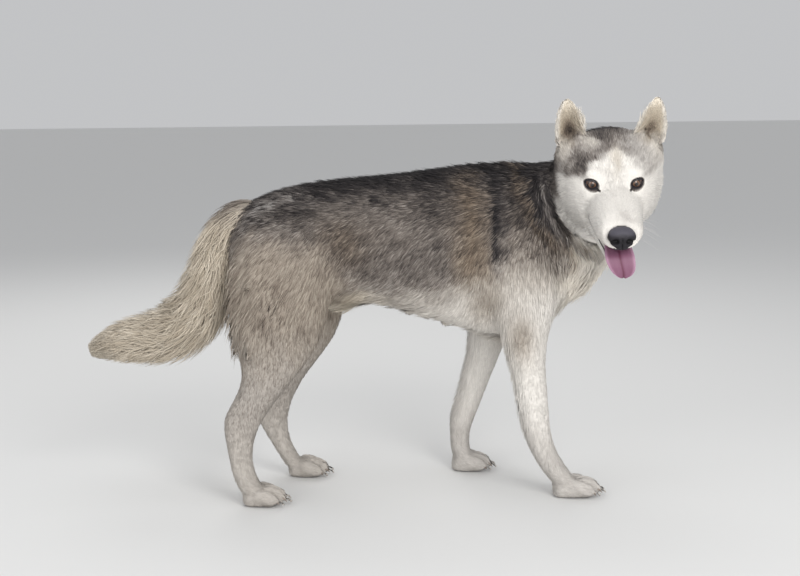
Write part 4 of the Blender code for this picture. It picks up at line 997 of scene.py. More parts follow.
class Skin:
    """One closed skin in place of the solids of flesh, and the lie and sizes of the coat on it."""

    GROW = 0.0016
    VOXEL = 0.0022
    FACES = 130_000

    def __init__(self, nodes: dict[str, bpy.types.Object]) -> None:
        self.nodes = nodes
        self.surface = self._carve(self._fused())
        self.tree = BVHTree.FromPolygons(self.surface.points.tolist(), self.surface.faces.tolist())

    def _node_surface(self, name: str, grow: float) -> Surface:
        """A solid's faces welded together and moved out along their normals."""
        bm = bmesh.new()
        bm.from_mesh(self.nodes[name].data)
        bmesh.ops.remove_doubles(bm, verts=bm.verts, dist=1e-5)
        bmesh.ops.triangulate(bm, faces=bm.faces)
        bm.verts.ensure_lookup_table()
        points = np.array([v.co for v in bm.verts])
        faces = np.array([[v.index for v in f.verts] for f in bm.faces])
        bm.free()
        surface = Surface(points, faces)
        surface.points = points + surface.normals() * grow
        return surface

    def _tail_core(self) -> Surface:
        """A slim tube along the tail under its brush."""
        rows = along_rows(TAIL, np.linspace(0.0, 0.97, 60))
        path = rows[:, :3] + MID_LINE
        ahead = unit(np.gradient(path, axis=0))
        across = np.tile((0.0, 1.0, 0.0), (len(path), 1))
        radius = rows[:, 4] * 0.86
        return tube(path, across, np.cross(ahead, across), radius, radius, 28)

    def _ear(self, side: int) -> Surface:
        """A cupped shell between the ear's rows, rooted in the skull."""
        rows = along_rows(EAR, np.linspace(0.0, 1.0, 44))
        height, inner, outer, cup = rows.T
        inner = inner - (0.0035 + 0.0040 * side) * ease(0.085, 0.050, height)
        t = np.linspace(-1, 1, 21)[None, :]
        bow = 1 - t * t
        middle, half = ((inner + outer) / 2)[:, None], ((outer - inner) / 2 + 0.0006)[:, None]
        ahead = EAR_FRONT - 0.10 * (height[:, None] - 0.05) - 0.005 * t - cup[:, None] * bow
        shell = EAR_THICKNESS * (0.72 + 0.45 * bow)
        high = np.broadcast_to(height[:, None], ahead.shape) + 0.001
        front = np.stack([ahead, side * (middle + half * t), high], axis=-1)
        rear = np.stack([ahead - shell, side * (middle + half * t * 0.98), high], axis=-1)
        ring = np.concatenate([front, rear[:, ::-1]], axis=1)
        count, sides = ring.shape[:2]
        points = np.concatenate([ring.reshape(-1, 3), ring[:1].mean(axis=1), ring[-1:].mean(axis=1)])
        quads = grid_faces(count, sides, True)
        k = np.arange(sides)
        n = (k + 1) % sides
        low, top = count * sides, count * sides + 1
        caps = [np.stack([np.full(sides, low), n, k], 1), np.stack([np.full(sides, top), k + low - sides, n + low - sides], 1)]
        faces = np.concatenate([quads[:, [0, 1, 2]], quads[:, [0, 2, 3]]] + caps)
        points = HEAD.out(points)
        a, b, c = (points[faces[:, j]] - points[0] for j in range(3))
        if np.einsum("ij,ij->", a, np.cross(b, c)) < 0:
            faces = faces[:, ::-1]
        return Surface(points, faces)

    def _fused(self) -> Surface:
        """All flesh joined by voxels, softened and thinned, finest on the face."""
        surfaces = [self._node_surface(name, self.GROW) for name in FLESH]
        surfaces += [self._tail_core(), self._ear(-1), self._ear(1)]
        for side in (-1, 1):
            turn = np.linspace(0, np.pi, 20)
            path = eye_frame(side).origin + np.outer(-np.cos(turn) * (EYE_RADIUS + 0.0030), (0, 0, 1))
            radius = np.maximum(np.sin(turn) * (EYE_RADIUS + 0.0030), 1e-4)
            axes = [np.tile(axis, (20, 1)) for axis in ((1.0, 0, 0), (0, 1.0, 0))]
            surfaces.append(tube(path, *axes, radius, radius, 30))
        mesh = mesh_of("fused", joined(surfaces))
        form = bpy.data.objects.new("fused", mesh)
        bpy.context.scene.collection.objects.link(form)
        remesh = form.modifiers.new("fuse", "REMESH")
        remesh.mode = "VOXEL"
        remesh.voxel_size = self.VOXEL
        soften = form.modifiers.new("soften", "SMOOTH")
        soften.factor, soften.iterations = 0.5, 9
        mesh = self._evaluated(form)
        form.modifiers.clear()
        form.data = mesh
        group = form.vertex_groups.new(name="face")
        places = np.empty(len(mesh.vertices) * 3, np.float32)
        mesh.vertices.foreach_get("co", places)
        places = self._part_toes(places.reshape(-1, 3).astype(float))
        mesh.vertices.foreach_set("co", places.astype(np.float32).ravel())
        h = HEAD.into(places)
        near = np.flatnonzero(((np.linalg.norm(h, axis=1) < 0.135) & (h[:, 0] > -0.075)) | (places[:, 2] < 0.045))
        group.add(range(len(mesh.vertices)), 1.0, "REPLACE")
        group.add(near.tolist(), 0.5, "REPLACE")
        thin = form.modifiers.new("thin", "DECIMATE")
        thin.ratio = self.FACES / (2.0 * len(mesh.polygons))
        thin.use_collapse_triangulate = True
        thin.vertex_group, thin.vertex_group_factor = group.name, 0.012
        mesh = self._evaluated(form)
        bpy.data.objects.remove(form)
        LOG.info("skin: %d faces after thinning", len(mesh.polygons))
        self._refine_lids(mesh)
        points = np.empty(len(mesh.vertices) * 3, np.float32)
        mesh.vertices.foreach_get("co", points)
        faces = np.empty(len(mesh.polygons) * 3, np.int32)
        mesh.polygons.foreach_get("vertices", faces)
        return Surface(points.reshape(-1, 3).astype(float), faces.reshape(-1, 3)).largest_part()

    @staticmethod
    def _part_toes(points: np.ndarray) -> np.ndarray:
        """Points of the paws drawn in along the gaps between toes."""
        p = points - MID_LINE
        for tip, length, middle in PAWS.values():
            across = p[:, 1] - middle
            on_foot = (np.abs(across) < 0.045) & (p[:, 0] > tip - length) & (p[:, 0] < tip + 0.01) & (p[:, 2] < 0.06)
            reach = ease(tip - 0.050, tip - 0.026, p[:, 0]) * ease(0.004, 0.010, p[:, 2]) * on_foot
            gap = sum(bump_at(across, place, 0.0034) for place in (-0.016, 0.0, 0.016))
            points[:, 2] -= 0.0075 * gap * reach * ease(0.008, 0.020, p[:, 2])
            points[:, 0] -= 0.0120 * gap * reach * ease(tip - 0.026, tip - 0.010, p[:, 0])
        return points

    @staticmethod
    def _evaluated(form: bpy.types.Object) -> bpy.types.Mesh:
        """The object's mesh with its modifiers applied."""
        bpy.context.view_layer.update()
        graph = bpy.context.evaluated_depsgraph_get()
        return bpy.data.meshes.new_from_object(form.evaluated_get(graph))

    @staticmethod
    def _refine_lids(mesh: bpy.types.Mesh) -> None:
        """Splits the faces round the eyes, so that the lids can be shaped."""
        bm = bmesh.new()
        bm.from_mesh(mesh)
        for reach in (0.021, 0.0185):
            edges = set()
            for side in (-1, 1):
                middle = Vector(eye_frame(side).out((EYE_RADIUS, 0, 0)))
                edges |= {e for e in bm.edges if (e.verts[0].co - middle).length < reach and e.calc_length() > 0.0009}
            bmesh.ops.subdivide_edges(bm, edges=list(edges), cuts=1, use_grid_fill=False)
            bmesh.ops.triangulate(bm, faces=[f for f in bm.faces if len(f.verts) > 3])
        bm.to_mesh(mesh)
        bm.free()

    def _shares(self, points: np.ndarray) -> np.ndarray:
        """Which region each place is nearest, one column per region."""
        names = ("torso", "neck", "head", "foreleg_right", "foreleg_left", "hindleg_right", "hindleg_left", "tail",
                 "ear_right", "ear_left")
        surfaces = [self._node_surface(name, 0.0) for name in names]
        owner = np.concatenate([np.full(len(s.faces), k) for k, s in enumerate(surfaces)])
        whole = joined(surfaces)
        tree = BVHTree.FromPolygons(whole.points.tolist(), whole.faces.tolist())
        nearest = np.array([tree.find_nearest(p)[2] for p in points.tolist()])
        shares = np.zeros((len(points), len(names)))
        shares[np.arange(len(points)), owner[nearest]] = 1.0
        face = shares[:, Region.HEAD.value] * of_face(HEAD.into(points))
        shares[:, Region.NECK.value] += shares[:, Region.HEAD.value] - face
        shares[:, Region.HEAD.value] = face
        return shares

    def _sizes(self, points: np.ndarray, normals: np.ndarray, shares: np.ndarray) -> np.ndarray:
        """The pelt's sizes at each place, one column each."""
        table = np.array([PELTS[region].row() for region in Region])
        sizes = shares @ table
        p, h = points - MID_LINE, HEAD.into(points)
        share = {region: shares[:, region.value] for region in Region}
        fore = share[Region.FORELEG_RIGHT] + share[Region.FORELEG_LEFT]
        hind = share[Region.HINDLEG_RIGHT] + share[Region.HINDLEG_LEFT]
        ears = share[Region.EAR_RIGHT] + share[Region.EAR_LEFT]

        def lay(pelt: Pelt, where: np.ndarray) -> None:
            nonlocal sizes
            sizes = mix(sizes, pelt.row(), np.clip(where, 0, 1))

        lay(UPPER_ARM, fore * ease(0.25, 0.33, p[:, 2]))
        lay(THIGH, hind * ease(0.24, 0.31, p[:, 2]))
        rear = ease(-0.2, -0.75, normals[:, 0])
        lay(FEATHER, fore * rear * ease(0.09, 0.14, p[:, 2]) * ease(0.34, 0.28, p[:, 2]))
        lay(BREECHES, hind * rear * ease(0.25, 0.29, p[:, 2]) * ease(0.44, 0.40, p[:, 2]))
        lay(PAW, (fore + hind) * ease(FOOT_TOP + 0.02, FOOT_TOP - 0.01, p[:, 2]))
        lay(BELLY, share[Region.TORSO] * ease(-0.35, -0.8, normals[:, 2]))
        lay(CHEST, (share[Region.TORSO] + share[Region.NECK]) * ease(0.2, 0.7, normals[:, 0]) * ease(0.44, 0.38, p[:, 2]))
        head = share[Region.HEAD]
        lay(MUZZLE, head * ease(0.005, 0.040, h[:, 0]))
        lay(NAPE, head * ease(-0.055, -0.085, h[:, 0]))
        side = np.abs(h[:, 1])
        lay(CHEEK, head * ease(0.052, 0.072, side - 0.25 * (h[:, 2] + 0.04)) * ease(0.03, 0.0, h[:, 2]) * ease(0.0, -0.025, h[:, 0]))
        lay(CHEEK, head * ease(-0.030, -0.055, h[:, 0]) * ease(-0.07, -0.10, h[:, 2]))
        lay(EAR_ROOT, (head + share[Region.NECK]) * 1.6 * beside_ears(h))
        for sign in (-1, 1):
            eye = eye_frame(sign).into(points)
            lay(EYELID, head * ease(0.028, 0.014, np.linalg.norm(eye - (EYE_RADIUS, 0, 0), axis=1)))
        t, ahead = ear_place(h)
        front = ahead > -0.5
        lay(EAR_EDGE, ears * ease(0.6, 0.9, np.abs(t)))
        lay(CUP_WISP, ears * front * ease(-0.15, -0.62, t) * ease(0.100, 0.080, h[:, 2]))
        return sizes

    def _lie(self, points: np.ndarray, normals: np.ndarray, shares: np.ndarray) -> np.ndarray:
        """The direction in which the coat lies, before it is laid flat on the skin."""
        p, h = points - MID_LINE, HEAD.into(points)
        flat = np.zeros(len(p))
        down = ease(0.53, 0.40, p[:, 2])
        trunk = np.stack([-1.0 + 0.35 * down, flat, -0.75 * down * ease(-0.7, 0.0, normals[:, 2])], axis=1)
        front = ease(0.15, 0.27, p[:, 0])[:, None]
        trunk = trunk * (1 - front) + np.array((-0.45, 0.0, -1.0)) * front
        neck = np.stack([flat - 0.8, flat, flat - 0.75], axis=1)
        leg = np.stack([flat - 0.10, flat, flat - 1.0], axis=1)
        thigh = ease(0.24, 0.36, p[:, 2])[:, None]
        hind = leg * (1 - thigh) + np.array((-0.60, 0.0, -0.9)) * thigh
        paw = ease(FOOT_TOP + 0.01, FOOT_TOP - 0.02, p[:, 2])[:, None]
        toes = np.array((0.95, 0.0, -0.35))
        leg, hind = leg * (1 - paw) + toes * paw, hind * (1 - paw) + toes * paw
        # Head, in its own frame
        out = np.sign(h[:, 1]) * ease(0.0, 0.03, np.abs(h[:, 1]))
        brow = ease(-0.02, 0.012, h[:, 2]) * ease(0.030, 0.0, h[:, 0])
        cheek = ease(0.02, -0.03, h[:, 0]) * ease(0.02, -0.02, h[:, 2])
        local = np.stack([flat - 1.0, 0.25 * out, flat - 0.10], axis=1)
        local = mix(local, np.stack([flat - 0.6, 0.22 * out, flat + 0.75], axis=1), brow)
        local = mix(local, np.stack([flat - 0.80, 0.34 * out, flat - 0.55], axis=1), cheek)
        fold = ease(0.97, 1.03, face_ring(h)) * ease(1.30, 1.20, face_ring(h)) * ease(0.0, -0.02, h[:, 1]) * ease(-0.08, -0.05, h[:, 0])
        along = HEAD.out_way(unit(np.stack([flat, -(h[:, 2] + 0.01), h[:, 1]], axis=1)))
        trunk, neck = (mix(w, along, 0.55 * fold) for w in (trunk, neck))
        for sign in (-1, 1):
            eye = eye_frame(sign).into(points)
            away = np.stack([flat - 0.3, eye[:, 1] / 0.012, eye[:, 2] / 0.012], axis=1) @ rotation(0, sign * LID_SLANT).T
            local = mix(local, unit(away), 0.75 * ease(0.030, 0.013, np.linalg.norm(eye - (EYE_RADIUS, 0, 0), axis=1)))
        behind = ease(-0.06, -0.09, h[:, 0])[:, None]
        head = HEAD.out_way(local) * (1 - behind) + np.array((-0.75, 0.1, -0.7)) * behind
        ear = HEAD.out_way(np.stack([flat - 0.05, 0.15 * np.sign(h[:, 1]), flat + 1.0], axis=1))
        tail_rows = TAIL[:, :3] + MID_LINE
        station = np.argmin(np.linalg.norm(points[:, None] - tail_rows[None], axis=2), axis=1)
        tail = np.gradient(tail_rows, axis=0)[station]
        ways = (trunk, neck, head, leg, leg, hind, hind, tail, ear, ear)
        way = sum(unit(w) * shares[:, [k]] for k, w in enumerate(ways))
        return unit(way)

    def _carve(self, surface: Surface) -> Surface:
        """Sinks the skin by the coat's depth, shapes the lids, and keeps the fields of the coat."""
        labels = self._shares(surface.points)
        shares = surface.diffused(labels, 10)
        self._settle(surface, shares)
        head = surface.diffused(labels[:, [Region.HEAD.value, Region.EAR_RIGHT.value, Region.EAR_LEFT.value]].sum(axis=1), 26)
        surface.points[:, 2] -= HEAD_DROP * ease(0.2, 0.8, head)
        normals = unit(surface.diffused(surface.normals(), 6))
        depth = surface.diffused(self._sizes(surface.points, normals, shares)[:, 3], 8)
        thin = surface.diffused(labels[:, Region.EAR_RIGHT.value :].sum(axis=1), 2)
        depth = (depth + self.GROW) * (1 - 0.95 * ease(0.3, 0.9, thin))
        for _ in range(4):
            surface.points -= unit(surface.diffused(surface.normals(), 3)) * (depth / 4)[:, None]
            eased = surface.diffused(surface.points, 1, 0.5)
            surface.points += (eased - surface.points) * ease(0.0050, 0.009, depth)[:, None]
        h = HEAD.into(surface.points)
        crown = bump_at(h[:, 1], 0.0, 0.042) * ease(0.040, 0.062, h[:, 2]) * ease(-0.110, -0.085, h[:, 0]) * (1 - ease(0.1, 0.6, thin))
        surface.points += HEAD.out_way(np.array((0.0, 0.0, 1.0))) * (0.0042 * crown)[:, None]
        lips = bump_at(h[:, 2], -0.056, 0.022) * ease(-0.010, 0.025, h[:, 0]) * ease(0.104, 0.080, h[:, 0])
        lips *= ease(0.070, 0.055, np.abs(h[:, 1]))
        surface.points += HEAD.out_way(np.array((0.0, 1.0, 0.0))) * (0.15 * lips * h[:, 1])[:, None]
        tip = ease(0.070, 0.090, h[:, 0]) * ease(0.026, 0.015, np.abs(h[:, 1])) * ease(-0.046, -0.036, h[:, 2])
        surface.points -= HEAD.out_way(np.array((0.0, 0.0, 1.0))) * (0.0030 * tip)[:, None]
        self._fold_neck(surface)
        self._open_lids(surface)
        surface.points[:, 2] = np.maximum(surface.points[:, 2], 0.0008)
        normals = surface.normals()
        even = unit(surface.diffused(normals, 3))
        sizes = surface.diffused(self._sizes(surface.points, even, shares), 3)
        way = self._lie(surface.points, even, shares)
        way -= even * (way * even).sum(axis=1, keepdims=True)
        way = surface.diffused(way, 5)
        way = unit(way - normals * (way * normals).sum(axis=1, keepdims=True))
        h = HEAD.into(surface.points)
        mouth = in_mouth(h) * shares[:, Region.HEAD.value]
        sole = ease(0.0035, 0.0015, surface.points[:, 2])
        open_eye = np.zeros(len(h))
        for side in (-1, 1):
            eye = eye_frame(side).into(surface.points)
            open_eye = np.maximum(open_eye, ease(1.16, 1.06, almond(eye)) * (eye[:, 0] > 0) * (np.abs(eye[:, 0]) < 0.02))
        pad = np.hypot(h[:, 1] / 0.0205, (h[:, 2] + 0.0480) / 0.0165)
        nose = ease(0.98, 0.90, pad) * (h[:, 0] > 0.090)
        surface.values = {
            "shares": shares, "sizes": sizes, "way": way, "normal": even, "label": labels.argmax(axis=1).astype(float),
            "bald": np.clip(mouth + sole + open_eye + nose, 0, 1),
            "bare": np.stack([mouth, np.clip(sole + open_eye + nose, 0, 1), np.zeros(len(h))], axis=1),
        }
        return surface

    @staticmethod
    def _fold_neck(surface: Surface) -> None:
        """A groove that parts the right cheek from the neck, and a fold of skin beyond it."""
        h = HEAD.into(surface.points)
        out = face_ring(h)
        where = ease(0.015, -0.02, h[:, 1]) * ease(0.0, -0.04, h[:, 2]) * ease(0.03, 0.01, h[:, 0]) * ease(-0.07, -0.04, h[:, 0])
        rise = 0.0060 * bump_at(out, 1.14, 0.045) - 0.0085 * bump_at(out, 1.02, 0.05)
        surface.points += unit(surface.diffused(surface.normals(), 6)) * (rise * where)[:, None]

    @staticmethod
    def _shed(surface: Surface, where: np.ndarray) -> None:
        """Draws thin locks that stand off the form back into it, as a film over their roots.

        Args:
            surface: the skin, changed in place.
            where: how much of each point may be a lock.
        """
        normals = surface.normals()
        tree = BVHTree.FromPolygons(surface.points.tolist(), surface.faces.tolist())
        thin = np.zeros(len(normals))
        for k in np.flatnonzero(where > 0.4).tolist():
            inward = Vector(-normals[k])
            thin[k] = tree.ray_cast(Vector(surface.points[k]) + inward * 0.0004, inward, 0.016)[0] is not None
        LOG.info("skin: %d points of thin locks", int(thin.sum()))
        loose = (surface.diffused(thin, 4) > 0.10) & (where > 0.2)
        start, end, count = surface.links()
        held = loose[start]
        start, end = start[held], end[held]
        for _ in range(260):
            for axis in range(3):
                mean = np.bincount(start, surface.points[end, axis], len(loose)) / count
                surface.points[loose, axis] = mean[loose]

    def _settle(self, surface: Surface, shares: np.ndarray) -> None:
        """Smooths away what is left of the solids' locks on trunk, neck and thighs, keeping the form's fullness."""
        p = surface.points - MID_LINE
        hind = shares[:, Region.HINDLEG_RIGHT.value] + shares[:, Region.HINDLEG_LEFT.value]
        fore = shares[:, Region.FORELEG_RIGHT.value] + shares[:, Region.FORELEG_LEFT.value]
        h = HEAD.into(surface.points)
        jowl = shares[:, Region.HEAD.value] * ease(-0.030, -0.060, h[:, 0]) * ease(0.02, -0.01, h[:, 2])
        where = shares[:, Region.TORSO.value] + shares[:, Region.NECK.value] + hind * ease(0.235, 0.275, p[:, 2])
        where = surface.diffused(np.clip(where + fore * ease(0.30, 0.36, p[:, 2]) + jowl, 0, 1), 4)[:, None]
        self._shed(surface, where[:, 0])
        start, normals = surface.points.copy(), unit(surface.diffused(surface.normals(), 12))
        for _ in range(30):
            surface.points += (surface.diffused(surface.points, 1, 1.0) - surface.points) * where * 0.6
        lost = ((start - surface.points) * normals).sum(axis=1)
        surface.points += normals * surface.diffused(lost, 40)[:, None] * 0.8
        keel = np.interp(p[:, 0], (-0.07, 0.13), (0.3215, 0.2645))
        below = ease(-0.075, -0.06, p[:, 0]) * ease(0.135, 0.12, p[:, 0]) * shares[:, Region.TORSO.value]
        surface.points[:, 2] += np.maximum(keel - surface.points[:, 2], 0) * below
        near = (below * ease(0.02, 0.008, surface.points[:, 2] - keel))[:, None]
        for _ in range(16):
            surface.points += (surface.diffused(surface.points, 1, 1.0) - surface.points) * near * 0.6

    def _open_lids(self, surface: Surface) -> None:
        """Draws the skin back behind each eyeball inside the almond, and over it as lids outside."""
        for side in (-1, 1):
            axes = eye_frame(side)
            eye = axes.into(surface.points)
            radius = np.linalg.norm(eye, axis=1)
            place = almond(eye)
            close = (radius < EYE_RADIUS + 0.010) & (eye[:, 0] > -0.004)
            inside = close & (place < 1.0)
            lid = EYE_RADIUS + 0.0010 + 0.0035 * np.clip(place - 1.0, 0, 1)
            wanted = np.where(inside, EYE_RADIUS * 0.90, np.where(place < 1.3, lid, np.maximum(radius, lid)))
            wanted = np.where(close, wanted, radius)
            surface.points[:] = axes.out(eye * (wanted / np.maximum(radius, 1e-6))[:, None])

    def publish(self, markings: Markings, palette: Palette) -> bpy.types.Object:
        """Puts the skin in the scene in place of all the solids of flesh."""
        values = self.surface.values
        tone = markings.tone(self.surface.points, values["shares"])
        shown = Surface(
            self.surface.points, self.surface.faces,
            {"tone": np.column_stack([tone, np.full(len(tone), 0.5)]), "bare": values["bare"]},
        )
        names = (*FLESH, "tail", "ear_right", "ear_left")
        return publish("skin", mesh_of("skin", shown), palette.skin(), "coat_back", *names)


@dataclass(frozen=True)
class Lay:
    """How one piece of the coat is made."""

    name: str
    slot: str
    count: int
    rings: tuple[float, ...]
    clump: float
    ridge: float = 0.40  # a tuft's thickness for its width
    ragged: float = 0.22  # chance differences in length
    calm: float = 0.70  # how far a tuft is lit as the skin under it, not as a ridge of its own


SHORT, MEDIUM, LONG = (0.0, 0.52), (0.0, 0.34, 0.70), (0.0, 0.22, 0.48, 0.76)
LAYS = (
    Lay("coat_face", "coat_face", 16000, SHORT, 0.12, 0.20),
    Lay("coat_cheeks", "coat_face", 9000, MEDIUM, 0.35, 0.24),
    Lay("coat_ears", "coat_ear", 8000, SHORT, 0.15, 0.22, calm=0.35),
    Lay("coat_neck", "coat_neck", 9500, MEDIUM, 0.40, 0.34),
    Lay("coat_back_right", "coat_back", 19000, SHORT, 0.34, 0.32),
    Lay("coat_back_left", "coat_back", 19000, SHORT, 0.34, 0.32),
    Lay("coat_foreleg_right", "coat_leg", 10300, SHORT, 0.16, 0.18),
    Lay("coat_foreleg_left", "coat_leg", 10300, SHORT, 0.16, 0.18),
    Lay("coat_hindleg_right", "coat_leg", 13000, SHORT, 0.22, 0.20),
    Lay("coat_hindleg_left", "coat_leg", 13000, SHORT, 0.22, 0.20),
    Lay("coat_tail", "coat_tail", 8600, LONG, 0.30, 0.34, 0.30, calm=0.55),
)


@dataclass
class Tufts:
    """Arrays that describe tufts, a row each."""

    root: np.ndarray
    spine: np.ndarray  # offsets from the root at a third, two thirds and the whole of the length
    out: np.ndarray
    width: np.ndarray
    tone: np.ndarray
    patch: np.ndarray  # place on the skin's unwrap

    def surface(self, lay: Lay, rng: np.random.Generator) -> tuple[Surface, np.ndarray]:
        """Blades of triangular section that taper to a point.

        Each ring's centre is root + spine(s), spine read between its knots. Its width is
        width · (0.5 + 1.7s - 2.2s²) towards the tip's 0.

        Args:
            lay: rings and clumping.
            rng: source of chance.

        Returns:
            The surface and the unwrap of each of its points.
        """
        count = len(self.root)
        spine = self._clumped(lay, rng)
        knots = np.concatenate([np.zeros((count, 1, 3)), spine], axis=1)
        places = np.array((*lay.rings, 1.0))
        at = np.minimum((places * 3).astype(int), 2)
        share = (places * 3 - at)[None, :, None]
        centre = self.root[:, None] + knots[:, at] * (1 - share) + knots[:, at + 1] * share
        along = unit(np.gradient(centre, axis=1))
        across = unit(np.cross(along, np.broadcast_to(self.out[:, None], along.shape)))
        up = np.cross(across, along)
        profile = 0.5 + 1.7 * places[:-1] - 2.0 * places[:-1] ** 2
        half = 0.5 * self.width[:, None, None] * profile[None, :, None]
        rise = lay.ridge * half
        body, side, over = centre[:, :-1], across[:, :-1], up[:, :-1]
        ring = np.stack([body - side * half - over * rise, body + side * half - over * rise, body + over * rise * 1.5], axis=2)
        rings = len(lay.rings)
        points = np.concatenate([ring.reshape(count, -1, 3), centre[:, -1:]], axis=1)
        size = rings * 3 + 1
        template = [(0, 1, 2)]
        for k in range(rings - 1):
            for j in range(3):
                a, b = k * 3 + j, k * 3 + (j + 1) % 3
                template += [(a, b + 3, b), (a, a + 3, b + 3)]
        last = (rings - 1) * 3
        template += [(last + j, size - 1, last + (j + 1) % 3) for j in range(3)]
        template = np.array(template)
        one = points[0]
        a, b, c = (one[template[:, k]] - one.mean(axis=0) for k in range(3))
        if np.einsum("ij,ij->", a, np.cross(b, c)) < 0:
            template = template[:, ::-1]
        faces = (template[None] + (np.arange(count) * size)[:, None, None]).reshape(-1, 3)
        sides = np.array([(0.0, 1.0, 0.5)] * rings).ravel().tolist() + [0.5]
        runs = np.repeat(places[:-1], 3).tolist() + [1.0]
        strand = np.stack(
            [np.tile(sides, count), np.tile(runs, count), np.repeat(rng.uniform(0, 60, count), size)], axis=1
        )
        patch = np.repeat(self.patch, size, axis=0) + 0.003 * (strand[:, :2] - 0.5)
        values = {"tone": np.repeat(self.tone, size, axis=0), "strand": strand}
        return Surface(points.reshape(-1, 3), faces, values), patch

    def _clumped(self, lay: Lay, rng: np.random.Generator) -> np.ndarray:
        """Spines drawn towards that of the nearest of a few leading tufts."""
        count = len(self.root)
        leaders = rng.permutation(count)[: max(count // 11, 1)]
        tree = KDTree(len(leaders))
        for k in leaders.tolist():
            tree.insert(self.root[k], k)
        tree.balance()
        nearest = np.array([tree.find(p)[1] for p in self.root.tolist()])
        to_leader = (self.root[nearest] - self.root)[:, None] + self.spine[nearest] - self.spine
        pull = np.array((0.10, 0.45, 1.0))[None, :, None] * lay.clump * rng.uniform(0.5, 1.2, (count, 1, 1))
        return self.spine + to_leader * pull


